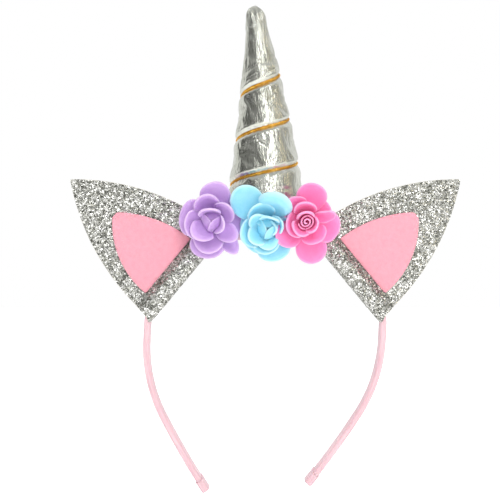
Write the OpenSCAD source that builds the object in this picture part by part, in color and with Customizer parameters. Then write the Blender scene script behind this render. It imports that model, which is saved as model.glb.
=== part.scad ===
// Headband with two glitter ears, a stuffed spiral horn and three foam roses.
// Millimetres. The origin is the centre of the head opening at its widest point,
// midway between front and back. +X to the right seen from the front, +Y to the back, +Z up.

/* [Band] */
// Width between the centrelines of the two arms
band_width = 121.2; // [119:0.2:123]
// Height of the top of the band above the widest point, at its centreline
crown_height = 67.5; // [66.5:0.5:68]
// Radius of the top bend
crown_radius = 38; // [36:0.5:39]
// Radius of the bend where the band enters the ear
side_radius = 20; // [19:0.5:21]
// Slope of the band inside the ears, from horizontal
ear_slope = 50.5; // [50:0.1:51]
// Thickness of the moulded core
core_thick = 2.4; // [2:0.1:2.6]
// Depth of the moulded core, front to back
core_depth = 7.2; // [6:0.1:7.4]
// Thickness of the satin ribbon
ribbon_thick = 0.4; // [0.3:0.05:0.4]

/* [Arms] */
// Radius of the upper stretch of each arm
arm_radius = 77; // [74:1:80]
// Turn of the upper stretch, in degrees
arm_turn = 30; // [28:0.5:32]
// Radius of the lower stretch of each arm
toe_radius = 400; // [300:10:500]
// Turn of the lower stretch, in degrees
toe_turn = 6.3; // [5:0.1:7]
// How far the left arm stands open at rest, in degrees
left_splay = 3; // [0:0.5:3]
// How far the right arm stands open at rest, in degrees
right_splay = -3; // [-3:0.5:0]
// Length of the tucked ribbon at each tip
tuck_length = 6; // [4:0.5:9]

/* [Ears] */
// Width of an ear along its fold
ear_width = 57.8; // [54:0.2:58]
// Height of an ear above its fold
ear_height = 78.8; // [70:0.2:84]
// Distance of the middle of the fold from the centre, sideways
ear_x = 39.7; // [39.6:0.1:39.8]
// Height of the middle of the fold above the widest point
ear_z = 32.6; // [32.5:0.1:32.7]
// Thickness of the glitter layer
glitter_thick = 0.35; // [0.3:0.05:0.4]
// Thickness of the cream backing under the glitter
backing_thick = 0.45; // [0.4:0.05:0.5]
// Outer depth of the fold that wraps the band
fold_depth = 10.4; // [10.2:0.1:11]
// Height at which the front and back leaves meet
fold_height = 11.4; // [11.2:0.1:12]
// Thickness of the felt insert
felt_thick = 1.2; // [0.8:0.1:2]

/* [Horn] */
// Height of the horn's hem above the widest point
horn_z = 71.6; // [71.5:0.1:73]
// Height of the horn from hem to tip
horn_height = 100.6; // [90:0.2:104]
// Radius of the horn at its hem, sideways
horn_radius = 19.8; // [18.5:0.1:20]
// Depth of the horn as a share of its width
horn_flat = 0.78; // [0.74:0.01:0.8]
// How far the tip leans to the left
horn_lean = 5.9; // [0:0.1:8]
// Thickness of the silver cover
cover_thick = 0.4; // [0.3:0.1:0.8]
// Diameter of the gold cord
cord_d = 1.2; // [1:0.1:1.6]
// Rise of the gold cord for each turn
cord_pitch = 22.7; // [20:0.1:25]
// Turns of the gold cord
cord_turns = 2.9; // [2:0.1:3.4]

/* [Roses] */
// Thickness of the petal foam
foam_thick = 1.4; // [1:0.1:1.5]
// Distance of the petals' back from the middle of the band
rose_stand = 12.5; // [12.3:0.1:14]
// Lean of each rose's top towards the front, in degrees
rose_nod = 8; // [8:0.5:10]
// Turn of each rose, so that its left edge laps over its neighbour, in degrees
rose_lap = 12; // [10:0.5:14]
// Thickness of the felt plate behind the roses
plate_thick = 1.4; // [1:0.1:1.5]

/* [Hidden] */
$fn = 64;
satin_pink = [0.96, 0.85, 0.87];
silver = [0.68, 0.68, 0.66];
cream = [0.95, 0.92, 0.84];
felt_pink = [0.99, 0.64, 0.71];
gold = [0.82, 0.6, 0.2];
glue_clear = [0.85, 0.84, 0.78];
purple = [0.72, 0.57, 0.79];
blue = [0.5, 0.8, 0.9];
pink = [0.96, 0.48, 0.7];
gap = 0.05; // running clearance between pieces
join = 0.3; // a straight stretch runs this far into the bends at its ends
swell = 1.005; // and it and the toe are this much larger, so that they meet in clean edges
half_width = band_width / 2;
wrap_thick = core_thick + 2 * ribbon_thick + 2 * gap;
wrap_depth = core_depth + 2 * ribbon_thick + 2 * gap;
// The straight stretch in the ears is tangent to the top bend and to the side bend
slope_a = 90 - ear_slope;
crown_z = crown_height - crown_radius;
line_reach = crown_z * sin(slope_a) + crown_radius;
side_x = half_width - side_radius;
hinge_z = (line_reach - side_radius - side_x * cos(slope_a)) / sin(slope_a);
straight_start = [crown_radius * cos(slope_a), crown_z + crown_radius * sin(slope_a)];
straight_end = [side_x + side_radius * cos(slope_a), hinge_z + side_radius * sin(slope_a)];
straight_length = norm(straight_end - straight_start);
ribbon_gap = 0.5; // the arm's ribbon starts this far under the hinge
toe_shift = arm_radius - toe_radius;
toe_x = half_width - arm_radius + toe_shift * cos(arm_turn);
toe_z = -toe_shift * sin(arm_turn);
join_turn = join / toe_radius * 180 / PI;
tuck_turn = tuck_length / toe_radius * 180 / PI;
sheet_thick = glitter_thick + backing_thick;
ear_arc = (pow(ear_height, 2) + pow(ear_width / 2, 2)) / ear_width;
fold_corner = 2.6; // outer radius of the fold's two lower corners
fold_slant = atan((fold_depth / 2 - sheet_thick) / 4.8); // lean of the fold's upper faces
fold_foot = fold_height - 4.8; // height where those faces start
band_rise = line_reach - ear_x * cos(slope_a) - ear_z * sin(slope_a);
horn_sides = 36;
horn_rings = 20;
dome_start = 0.94; // share of the horn's height where the tip starts to round over
dome_reach = 0.063;
cord_sides = 8;
cord_start_a = 110; // direction in which the cord leaves the hem
cord_rest = 0.35; // clearance between the cord and the cover
plate_back = fold_depth / 2 + gap; // the felt plate lies across the fronts of the two folds
rose_bowl = 34; // radius of the outer petals' bowl
rose_cup = 13; // radius of the middle petals' cup
// Each rose: centre [x, z], then a list of outer petals as [direction, reach]
rose_at = [[-26.6, 61.3], [0.2, 58], [19.2, 60.2]];
rose_petals = [
    [[80, 19.5], [155, 16.5], [215, 17], [275, 19], [330, 14.5], [20, 14]],
    [[125, 19.5], [50, 19], [185, 17], [260, 19.5], [320, 16], [0, 13]],
    [[75, 19.5], [10, 17.5], [320, 17], [265, 19.5], [200, 14], [140, 15.5]]];
petal_r = 9;
middle_petal_r = 6.4;
middle_reach = 5.6; // from the rose's middle to the middle of each of its four inner petals
inner_foot = 2 * foam_thick + 1.5; // height at which the inner cup stands on the middle one
inner_r = [5, 7.6]; // radius of the inner cup at its foot and at its rim
heart_height = 9; // height of the inner cup, and of the bud in it
scallop_r = 4.4; // the rim of the inner cup dips between its petals
bud_turns = 2.2;
bud_steps = 28;
plug_r = [6, 4.4]; // the stub behind each rose, at the plate and at the petals
plug_length = 9;
plate_size = [66, 17, 7]; // width, height and corner radius of the felt plate behind the roses
plate_at = [-4, 60];
seat_size = [34, 22, 10]; // length, depth and corner radius of the felt under the horn
seat_thick = 1.45;
base_felt_thick = 1.5;
glue_size = [18, 7, 3.35]; // bed of glue between the band and the seat
stitch_r = 1.6;
stitch_height = 0.8;
patch_thick = 1.2;
patch_reach_a = 28; // the patch under the crown reaches this far to each side, in degrees

// ---- Helpers ----

// Rounded rectangle: x is the thickness of the band and y its depth
module section(thick, depth, corner) {
    square([thick, depth - 2 * corner], center = true);
    square([thick - 2 * corner, depth], center = true);
    for (sx = [-1, 1], sy = [-1, 1])
        translate([sx * (thick / 2 - corner), sy * (depth / 2 - corner)]) circle(corner);
}

module core_section() square([core_thick, core_depth], center = true);

module wrap_section() section(wrap_thick, wrap_depth, 1);

module hollow_section() square([core_thick + 2 * gap, core_depth + 2 * gap], center = true);

// Sweeps a section round a bend that lies in the front plane
module bend(x, z, radius, from, to) {
    translate([x, 0, z]) rotate([90, 0, 0]) rotate([0, 0, from])
        rotate_extrude(angle = to - from, $fn = 180) translate([radius, 0]) children();
}

// Sweeps a section along a straight stretch in the front plane
module straight(start, direction, length) {
    translate([start.x, 0, start.y]) rotate([0, 90 - direction, 0])
        translate([0, 0, -join]) linear_extrude(length + 2 * join) scale(swell) children();
}

module mirrored(side) {
    mirror([side < 0 ? 1 : 0, 0, 0]) children();
}

// From the top bend down to the hinge: a straight stretch, then a bend
module crown_side(last_a) {
    straight(straight_start, -ear_slope, straight_length) children();
    bend(side_x, hinge_z, side_radius, last_a, slope_a) children();
}

module crown(last_a) {
    bend(0, crown_z, crown_radius, slope_a, 180 - slope_a) children();
    crown_side(last_a) children();
    mirrored(-1) crown_side(last_a) children();
}

// Right arm, from a place under the hinge to its tip
module arm(start_z) {
    straight([half_width, 0], 90, start_z - join) children();
    bend(half_width - arm_radius, 0, arm_radius, -arm_turn, 0) children();
    bend(toe_x, toe_z, toe_radius, -arm_turn - toe_turn, -arm_turn + join_turn) scale(swell) children();
}

// An arm stands open by its own angle, turned about its hinge
module splayed(side) {
    splay = side < 0 ? left_splay : right_splay;
    mirrored(side) translate([half_width, 0, hinge_z]) rotate([0, -splay, 0])
        translate([-half_width, 0, -hinge_z]) children();
}

module hinge_round(radius, depth) {
    translate([half_width, 0, hinge_z]) rotate([90, 0, 0])
        cylinder(r = radius, h = depth, center = true);
}

// ---- Band ----

module band_core_crown() {
    color("white") difference() {
        union() {
            crown(0) core_section();
        }
        hinge_round(core_thick / 2 + gap, core_depth + 1);
        mirrored(-1) hinge_round(core_thick / 2 + gap, core_depth + 1);
    }
}

module band_core_arm(side) {
    color("white") splayed(side) {
        arm(hinge_z) core_section();
        hinge_round(core_thick / 2, core_depth);
    }
}

module band_ribbon_crown() {
    color(satin_pink) difference() {
        crown(0.5) wrap_section();
        crown(0) hollow_section();
    }
}

module band_ribbon_arm(side) {
    color(satin_pink) splayed(side) difference() {
        arm(hinge_z - ribbon_gap) wrap_section();
        arm(hinge_z) hollow_section();
    }
}

// The ribbon's end folded over the tip and glued back on itself
module tip_tuck(side) {
    tip_a = -arm_turn - toe_turn;
    color(satin_pink) splayed(side) difference() {
        bend(toe_x, toe_z, toe_radius, tip_a - tuck_turn / 8, tip_a + tuck_turn)
            section(wrap_thick + 0.9, wrap_depth + 0.9, 1.2);
        bend(toe_x, toe_z, toe_radius, tip_a, tip_a + 2 * tuck_turn)
            section(wrap_thick + 0.1, wrap_depth + 0.1, 1);
    }
}

// ---- Ears ----

// Places a shape in an ear: x runs down the fold, y up to the tip, z towards the front
module on_ear(side) {
    mirrored(side) translate([ear_x, 0, ear_z]) rotate([90, 0, 0]) rotate([0, 0, -ear_slope])
        children();
}

module ear_outline() {
    lens = ear_arc - ear_width / 2;
    intersection() {
        translate([-lens, 0]) circle(ear_arc, $fn = 180);
        translate([lens, 0]) circle(ear_arc, $fn = 180);
        translate([-ear_width, 0]) square([2 * ear_width, 2 * ear_height]);
    }
}

// End view of the folded sheet, inset from its outer face
module fold_profile(inset) {
    half = fold_depth / 2;
    lift = inset * tan(fold_slant / 2);
    leaf = max(sheet_thick - inset, 0);
    for (s = [-1, 1])
        translate([s * (half - fold_corner), fold_corner]) circle(fold_corner - inset);
    translate([fold_corner - half, inset]) square([fold_depth - 2 * fold_corner, fold_corner - inset]);
    polygon([[inset - half, fold_corner], [half - inset, fold_corner], [half - inset, fold_foot - lift],
        [leaf, fold_height - lift], [-leaf, fold_height - lift], [inset - half, fold_foot - lift]]);
    if (leaf > 0)
        translate([-leaf, fold_height - lift - 0.01]) square([2 * leaf, 2 * ear_height]);
}

// One layer of the folded sheet, cut to the ear's outline
module ear_layer(side, from, to) {
    on_ear(side) intersection() {
        translate([0, 0, -fold_depth]) linear_extrude(2 * fold_depth) ear_outline();
        rotate([0, -90, 0]) linear_extrude(2 * ear_width, center = true) difference() {
            fold_profile(from);
            fold_profile(to);
        }
    }
}

module ear_glitter(side) color(silver) ear_layer(side, 0, glitter_thick);

module ear_backing(side) color(cream) ear_layer(side, glitter_thick, sheet_thick);

module ear_felt(side) {
    color(felt_pink) on_ear(side) translate([0, 0, sheet_thick]) linear_extrude(felt_thick)
        intersection() {
            translate([-25.8, 12]) circle(46.2, $fn = 128);
            translate([48, 10]) circle(63.8, $fn = 128);
            translate([0, 18]) circle(31.4, $fn = 128);
            translate([-ear_width, fold_height + 0.1]) square([2 * ear_width, ear_height]);
        }
}

// Bead of glue on the band, inside the fold
module ear_glue(side) {
    foot = band_rise + wrap_thick / 2 + gap;
    color(glue_clear) on_ear(side) rotate([0, -90, 0]) translate([0, 0, -20])
        linear_extrude(40) polygon([[-2, foot], [2, foot], [0.6, foot + 1.8], [-0.6, foot + 1.8]]);
}

// ---- Horn ----

// Outline of the horn: radius at a share h of its height, rounded in at hem and tip
function horn_r(h) = horn_radius * (1 - 0.79 * h) * (1 - 0.05 * exp(-h * 40))
    * sqrt(1 - pow(max(h - dome_start, 0) / dome_reach, 2));
// Height of ring j as a share: the rings stand closer together towards the tip
function ring_h(j) = 1 - pow(1 - j / horn_rings, 1.3);
function horn_shift(h) = 0.3 - horn_lean * h * h;
function horn_ring(h, inset, z) = [for (i = [0:horn_sides - 1])
    [horn_shift(h) + (horn_r(h) - inset) * cos(i * 360 / horn_sides),
        (horn_r(h) - inset) * horn_flat * sin(i * 360 / horn_sides), z]];

// Closed skin through rings of points, with a flat cap at each end
module skin(rings) {
    n = len(rings[0]);
    last = len(rings) - 1;
    polyhedron(
        points = [for (r = rings) each r],
        faces = concat(
            [[for (i = [0:n - 1]) i]],
            [for (j = [0:last - 1], i = [0:n - 1]) [j * n + i, (j + 1) * n + i, j * n + (i + 1) % n]],
            [for (j = [0:last - 1], i = [0:n - 1])
                [j * n + (i + 1) % n, (j + 1) * n + i, (j + 1) * n + (i + 1) % n]],
            [[for (i = [n - 1:-1:0]) last * n + i]]));
}

module horn_cover() {
    color(silver) skin(concat(
        [for (j = [horn_rings:-1:0]) let(h = ring_h(j)) horn_ring(h, 0, horn_z + h * horn_height)],
        [for (j = [0:horn_rings - 2]) let(h = ring_h(j))
            horn_ring(h, cover_thick, horn_z + h * horn_height)]));
}

module horn_stuffing() {
    inset = cover_thick + 0.15;
    low = horn_z + 1.6;
    color("white") skin([for (j = [horn_rings - 3:-1:0]) let(h = ring_h(j))
        horn_ring(h, inset, max(horn_z + h * horn_height, low))]);
}

module horn_base_felt() {
    r = horn_r(0) - cover_thick - 2 * gap;
    color(silver) translate([horn_shift(0), 0, horn_z]) linear_extrude(base_felt_thick)
        polygon([for (i = [0:horn_sides - 1])
            r * [cos(i * 360 / horn_sides), horn_flat * sin(i * 360 / horn_sides)]]);
}

// Place of the cord's middle after t turns
function cord_h(t) = (t * cord_pitch + 4) / horn_height;
function cord_out(t) = horn_r(cord_h(t)) + cord_d / 2 + cord_rest;
function cord_a(t) = cord_start_a + 360 * t;
function cord_point(t) = [horn_shift(cord_h(t)) + cord_out(t) * cos(cord_a(t)),
    cord_out(t) * horn_flat * sin(cord_a(t)), horn_z + cord_h(t) * horn_height];
function cord_ring(t) = let(outward = [cos(cord_a(t)), sin(cord_a(t)) / horn_flat, 0],
    u = outward / norm(outward), p = cord_point(t))
    [for (i = [0:cord_sides - 1]) p + cord_d / 2 * (cos(i * 360 / cord_sides) * u
        + sin(i * 360 / cord_sides) * [0, 0, 1])];

module horn_cord() {
    color(gold) skin([for (i = [0:72]) cord_ring(cord_turns * i / 72)]);
}

// Thread that gathers the cover at the tip
module horn_tip_stitch() {
    color(silver) translate([horn_shift(1), 0, horn_z + horn_height + gap])
        linear_extrude(stitch_height) scale([1, horn_flat]) circle(stitch_r);
}

// ---- Pieces that hold the horn and the roses ----

module horn_seat_felt() {
    color(felt_pink) translate([horn_shift(0), 0, horn_z - gap - seat_thick]) linear_extrude(seat_thick)
        section(seat_size[0], seat_size[1], seat_size[2]);
}

// Bed of glue between the top of the band and the seat
module horn_glue() {
    top = horn_z - seat_thick - 2 * gap;
    color(glue_clear) difference() {
        translate([-glue_size[0] / 2, -glue_size[1] / 2, top - glue_size[2]]) cube(glue_size);
        translate([0, 0, crown_z]) rotate([90, 0, 0])
            cylinder(r = crown_radius + wrap_thick / 2 + gap, h = 20, center = true, $fn = 180);
    }
}

module crown_patch_felt() {
    reach = crown_radius - wrap_thick / 2 - gap - patch_thick / 2;
    color(felt_pink) bend(0, crown_z, reach, 90 - patch_reach_a, 90 + patch_reach_a)
        square([patch_thick, wrap_depth + 1.4], center = true);
}

module rose_plate_felt() {
    color(felt_pink) translate([plate_at[0], -plate_back, plate_at[1]]) rotate([90, 0, 0])
        linear_extrude(plate_thick) section(plate_size[0], plate_size[1], plate_size[2]);
}

// ---- Roses ----

// Places a shape on rose i: z towards the front, y up
module on_rose(i) {
    translate([rose_at[i].x, -rose_stand, rose_at[i].y]) rotate([90 + rose_nod, 0, 0])
        rotate([0, -rose_lap, 0]) children();
}

// Space in front of the outer petals of rose i
module rose_front(i) {
    for (p = rose_petals[i])
        rotate([0, 0, p[0]]) translate([p[1] - petal_r, 0, 0]) cylinder(r = petal_r + 0.6, h = 30);
}

// What the roses to the right lap over is cut out of rose i
module lapped(i) {
    difference() {
        children();
        for (j = [i + 1:1:2])
            on_rose(j) intersection() {
                rose_front(j);
                translate([0, 0, rose_bowl]) sphere(rose_bowl + 0.4);
            }
    }
}

// Wall of a bowl that starts at z = foot
module bowl(radius, foot) {
    translate([0, 0, foot + radius]) difference() {
        sphere(radius);
        sphere(radius - foam_thick);
    }
}

module rose_outer(i, tint) {
    color(tint) lapped(i) on_rose(i) intersection() {
        bowl(rose_bowl, 0);
        union() for (p = rose_petals[i])
            rotate([0, 0, p[0]]) translate([p[1] - petal_r, 0, -1]) cylinder(r = petal_r, h = 20);
    }
}

module rose_middle(i, tint) {
    color(tint) lapped(i) on_rose(i) intersection() {
        bowl(rose_cup, foam_thick + 0.2);
        union() for (a = [0:90:270])
            rotate([0, 0, a + 40]) translate([middle_reach, 0, 0]) cylinder(r = middle_petal_r, h = 12);
    }
}

module rose_inner(i, tint) {
    color(tint) lapped(i) on_rose(i) translate([0, 0, inner_foot]) difference() {
        cylinder(r1 = inner_r[0], r2 = inner_r[1], h = heart_height);
        translate([0, 0, foam_thick]) cylinder(r1 = inner_r[0] - 1, r2 = inner_r[1] - 1, h = heart_height);
        for (a = [30:120:270])
            rotate([0, 0, a]) translate([heart_height, 0, heart_height]) sphere(scallop_r);
    }
}

// Strip of foam rolled up: the section is a coil
module rose_bud(i, tint) {
    coil = [for (k = [0:bud_steps]) let(t = bud_turns * k / bud_steps)
        (0.3 + 1.15 * t) * [cos(360 * t), sin(360 * t)]];
    color(tint) on_rose(i) translate([0, 0, inner_foot + foam_thick + 0.1]) linear_extrude(heart_height)
        polygon(concat(coil, [for (k = [bud_steps:-1:0]) let(a = 360 * bud_turns * k / bud_steps)
            coil[k] + 0.8 * [cos(a), sin(a)]]));
}

module rose_plug(i, tint) {
    plate_front = plate_back + plate_thick + gap;
    color(tint) difference() {
        on_rose(i) translate([0, 0, -plug_length])
            cylinder(r1 = plug_r[0], r2 = plug_r[1], h = plug_length - gap);
        on_rose(i) translate([0, 0, rose_bowl]) sphere(rose_bowl + 0.05);
        translate([-100, -plate_front, -100]) cube(200);
    }
}

band_core_crown();
band_core_arm(-1);  // band_core_left
band_core_arm(1);  // band_core_right
band_ribbon_crown();
band_ribbon_arm(-1);  // band_ribbon_left
band_ribbon_arm(1);  // band_ribbon_right
tip_tuck(-1);  // tip_tuck_left
tip_tuck(1);  // tip_tuck_right
ear_glitter(-1);  // ear_glitter_left
ear_glitter(1);  // ear_glitter_right
ear_backing(-1);  // ear_backing_left
ear_backing(1);  // ear_backing_right
ear_felt(-1);  // ear_felt_left
ear_felt(1);  // ear_felt_right
ear_glue(-1);  // ear_glue_left
ear_glue(1);  // ear_glue_right
horn_cover();
horn_stuffing();
horn_base_felt();
horn_cord();
horn_tip_stitch();
horn_seat_felt();
horn_glue();
crown_patch_felt();
rose_plate_felt();
rose_outer(0, purple);  // rose_purple_outer
rose_middle(0, purple);  // rose_purple_middle
rose_inner(0, purple);  // rose_purple_inner
rose_bud(0, purple);  // rose_purple_bud
rose_plug(0, purple);  // rose_purple_plug
rose_outer(1, blue);  // rose_blue_outer
rose_middle(1, blue);  // rose_blue_middle
rose_inner(1, blue);  // rose_blue_inner
rose_bud(1, blue);  // rose_blue_bud
rose_plug(1, blue);  // rose_blue_plug
rose_outer(2, pink);  // rose_pink_outer
rose_middle(2, pink);  // rose_pink_middle
rose_inner(2, pink);  // rose_pink_inner
rose_bud(2, pink);  // rose_pink_bud
rose_plug(2, pink);  // rose_pink_plug
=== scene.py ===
import math
import random

import bmesh
import bpy
import numpy as np
from mathutils import Matrix, Vector, noise


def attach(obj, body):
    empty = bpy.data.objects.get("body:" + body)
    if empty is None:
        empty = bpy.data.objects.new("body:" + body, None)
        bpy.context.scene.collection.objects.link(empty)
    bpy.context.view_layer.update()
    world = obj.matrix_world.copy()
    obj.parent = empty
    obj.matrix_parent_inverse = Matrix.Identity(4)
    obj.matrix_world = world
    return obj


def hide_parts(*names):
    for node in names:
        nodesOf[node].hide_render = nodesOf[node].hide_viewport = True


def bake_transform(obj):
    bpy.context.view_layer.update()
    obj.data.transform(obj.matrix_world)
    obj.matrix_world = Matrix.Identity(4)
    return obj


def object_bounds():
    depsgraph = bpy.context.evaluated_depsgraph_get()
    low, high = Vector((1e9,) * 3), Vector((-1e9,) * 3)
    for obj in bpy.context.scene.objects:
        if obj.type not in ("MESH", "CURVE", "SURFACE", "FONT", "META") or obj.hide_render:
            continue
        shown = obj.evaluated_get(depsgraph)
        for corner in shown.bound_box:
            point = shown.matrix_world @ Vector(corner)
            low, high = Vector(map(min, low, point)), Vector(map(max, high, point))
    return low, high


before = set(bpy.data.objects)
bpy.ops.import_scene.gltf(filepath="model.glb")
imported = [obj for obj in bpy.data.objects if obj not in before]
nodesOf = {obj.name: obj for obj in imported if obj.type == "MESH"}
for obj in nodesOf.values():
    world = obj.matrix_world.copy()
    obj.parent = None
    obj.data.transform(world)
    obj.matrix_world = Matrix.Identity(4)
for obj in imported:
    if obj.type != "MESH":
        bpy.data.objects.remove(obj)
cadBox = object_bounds()
scene = bpy.context.scene
mm = 0.001


view = {
    "distance": 440 * mm,       # from the band's middle plane to the lens
    "middle": (-7.9 * mm, 46.4 * mm),   # X and Z at the middle of the view
    "width": 258.2 * mm,        # what the view takes in at the band's plane
    "nearest": 0.01,
}
studio = {
    "white": (1.0, 1.0, 1.0, 1.0),
    "behind": 0.95,             # brightness of the room behind the object and at its sides
    "front": 0.26,              # and on the camera's side, which metal facing it reflects
    "left": 0.03,               # with a dark screen on the left
    "above": 0.4,               # and a paler ceiling
    "behindSpan": (-0.04, 0.12),    # where each of them fades in, along Y, X and Z of the direction
    "leftSpan": (-0.97, -0.72),
    "aboveSpan": (0.45, 0.9),
    "floorHalf": 4.0,
    "floorDrop": 180 * mm,      # the floor lies this far under the tips
    "floorSeen": (0.36, 0.75),  # its glow as other things see it, and as the camera does
}
lamps = {   # place, target, size, energy and colour
    "keyLight": ((-0.2, -0.62, 0.95), (0, 0, 0.06), (1.5, 1.1), 6.9, (1.0, 1.0, 1.0)),
    "stripLight": ((0.15, -0.61, 0.3), (0, 0, 0.1), (0.08, 0.9), 2.0, (1.0, 1.0, 1.0)),
    "warmStrip": ((0.535, -0.33, 0.3), (0, 0, 0.1), (0.03, 0.8), 0.4, (1.0, 0.88, 0.62)),
}


def fill(tree, socket, value):
    # a socket takes another node's output or a plain value
    if isinstance(value, bpy.types.NodeSocket):
        tree.links.new(value, socket)
    else:
        socket.default_value = value


def addNode(tree, kind, inputs=None, **options):
    node = tree.nodes.new(kind)
    for key, value in options.items():
        setattr(node, key, value)
    for key, value in (inputs or {}).items():
        fill(tree, node.inputs[key], value)
    return node


def addRange(tree, value, low, high, outLow, outHigh, **options):
    inputs = {"Value": value, "From Min": low, "From Max": high, "To Min": outLow, "To Max": outHigh}
    return addNode(tree, "ShaderNodeMapRange", inputs, **options).outputs["Result"]


def linear(red, green, blue):
    # a colour given as 0-255 display values
    values = [c / 255 for c in (red, green, blue)]
    return tuple(c / 12.92 if c <= 0.04045 else ((c + 0.055) / 1.055) ** 2.4 for c in values) + (1.0,)


def placeCamera():
    data = bpy.data.cameras.new("camera")
    data.lens = data.sensor_width * view["distance"] / view["width"]
    data.clip_start = view["nearest"]
    camera = bpy.data.objects.new("camera", data)
    camera.location = (view["middle"][0], -view["distance"], view["middle"][1])
    camera.rotation_euler = (math.radians(90), 0, 0)
    scene.collection.objects.link(camera)
    scene.camera = camera


def paintWorld():
    world = bpy.data.worlds.new("room")
    scene.world = world
    world.use_nodes = True
    tree = world.node_tree
    place = addNode(tree, "ShaderNodeTexCoord").outputs["Generated"]
    toward = addNode(tree, "ShaderNodeSeparateXYZ", {0: place}).outputs
    screen = addRange(tree, toward["X"], *studio["leftSpan"], studio["left"], studio["front"])
    ceiling = addRange(tree, toward["Z"], *studio["aboveSpan"], 0.0, studio["above"])
    near = addNode(tree, "ShaderNodeMath", {0: screen, 1: ceiling}).outputs["Value"]
    room = addRange(tree, toward["Y"], *studio["behindSpan"], near, studio["behind"],
                    interpolation_type="SMOOTHSTEP")
    seen = addNode(tree, "ShaderNodeLightPath").outputs["Is Camera Ray"]
    glow = addNode(tree, "ShaderNodeMix", {"Factor": seen, "A": room, "B": 1.0}).outputs["Result"]
    background = tree.nodes["Background"]
    background.inputs["Color"].default_value = studio["white"]
    tree.links.new(glow, background.inputs["Strength"])


def addSoftbox(name, place, target, size, energy, colour):
    data = bpy.data.lights.new(name, "AREA")
    data.shape = "RECTANGLE"
    data.size, data.size_y = size
    data.energy = energy
    data.color = colour
    light = bpy.data.objects.new(name, data)
    light.location = place
    light.rotation_euler = (Vector(target) - Vector(place)).to_track_quat("-Z", "Y").to_euler()
    scene.collection.objects.link(light)


def layFloor():
    low, half = cadBox[0][2] - studio["floorDrop"], studio["floorHalf"]
    mesh = bpy.data.meshes.new("floor")
    corners = [(-half, -half, low), (half, -half, low), (half, half, low), (-half, half, low)]
    mesh.from_pydata(corners, [], [(0, 1, 2, 3)])
    floor = bpy.data.objects.new("floor", mesh)
    scene.collection.objects.link(floor)
    mat = bpy.data.materials.new("paleFloor")
    mat.use_nodes = True
    tree = mat.node_tree
    seen = addNode(tree, "ShaderNodeLightPath").outputs["Is Camera Ray"]
    shader = tree.nodes["Principled BSDF"]
    for key, value in {"Base Color": linear(246, 246, 246), "Roughness": 0.9,
                       "Emission Color": studio["white"],
                       "Emission Strength": addRange(tree, seen, 0, 1, *studio["floorSeen"])}.items():
        fill(tree, shader.inputs[key], value)
    mesh.materials.append(mat)


placeCamera()
paintWorld()
for name, (place, target, size, energy, colour) in lamps.items():
    addSoftbox(name, place, target, size, energy, colour)
bpy.data.objects["keyLight"].visible_glossy = False     # a bounce card: metal doesn't mirror it
layFloor()
scene.view_settings.view_transform = "Standard"
print("stage: camera, room and lights")


def makePiece(name, points, faces, material, uvs=None, smooth=True):
    mesh = bpy.data.meshes.new(name)
    mesh.from_pydata([tuple(p) for p in points], [], faces)
    mesh.materials.append(material)
    if uvs is not None:
        layer = mesh.uv_layers.new(name="clothUv")
        for loop in mesh.loops:
            layer.data[loop.index].uv = uvs[loop.vertex_index]
    if smooth:
        mesh.polygons.foreach_set("use_smooth", [True] * len(mesh.polygons))
    mesh.update()
    piece = bpy.data.objects.new(name, mesh)
    scene.collection.objects.link(piece)
    return piece


def gridFaces(rows, columns, start=0, wrap=False, flip=False):
    # quads between rows of points, each row holding that many columns
    faces = []
    last = columns if wrap else columns - 1
    for r in range(rows - 1):
        for c in range(last):
            a, b = start + r * columns + c, start + r * columns + (c + 1) % columns
            quad = (a, b, b + columns, a + columns)
            faces.append(quad[::-1] if flip else quad)
    return faces


def faceOutward(piece):
    mesh = piece.data
    work = bmesh.new()
    work.from_mesh(mesh)
    bmesh.ops.recalc_face_normals(work, faces=work.faces)
    work.to_mesh(mesh)
    work.free()
    mesh.update()


def finishPiece(piece, body, slot, *replaced):
    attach(piece, body)
    if replaced:
        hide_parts(*replaced)


def dress(node, material):
    # a CAD solid that stays as it is, in its own finish
    nodesOf[node].data.materials.clear()
    nodesOf[node].data.materials.append(material)


def flatSize(size):
    return size[0] * mm, size[1] * mm


def smoothStep(low, high, value):
    t = np.clip((value - low) / (high - low), 0, 1)
    return t * t * (3 - 2 * t)


class Recipe:
    # a material being built: every call adds a node and returns one of its outputs
    def __init__(self, name):
        self.material = bpy.data.materials.new(name)
        self.material.use_nodes = True
        self.tree = self.material.node_tree
        self.shader = self.tree.nodes["Principled BSDF"]

    def add(self, kind, result, inputs, **options):
        return addNode(self.tree, "ShaderNode" + kind, inputs, **options).outputs[result]

    def place(self, scale=(1, 1, 1), uv=False):
        start = self.add("UVMap", "UV", {}, uv_map="clothUv") if uv else self.add("TexCoord", "Object", {})
        return self.add("Mapping", "Vector", {"Vector": start, "Scale": scale})

    def noise(self, vector, scale, detail=3.0, rough=0.55, bend=0.0):
        return self.add("TexNoise", "Fac", {"Vector": vector, "Scale": scale, "Detail": detail,
                                            "Roughness": rough, "Distortion": bend})

    def shift(self, value, low, high, outLow, outHigh):
        return addRange(self.tree, value, low, high, outLow, outHigh)

    def tint(self, value, first, second, low=0.3, high=0.7, most=1.0):
        # from the first colour to the second as the value rises from low to high
        inputs = {"Factor": self.shift(value, low, high, 0.0, most), 6: first, 7: second}
        return addNode(self.tree, "ShaderNodeMix", inputs, data_type="RGBA").outputs[2]

    def bumps(self, *layers):
        # each layer has a height, a distance and a strength
        normal = {}
        for height, distance, strength in layers:
            inputs = {"Height": height, "Distance": distance, "Strength": strength}
            normal = {"Normal": self.add("Bump", "Normal", {**inputs, **normal})}
        return normal["Normal"]

    def finish(self, **values):
        for key, value in values.items():
            fill(self.tree, self.shader.inputs[key.replace("_", " ")], value)
        return self.material


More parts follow.
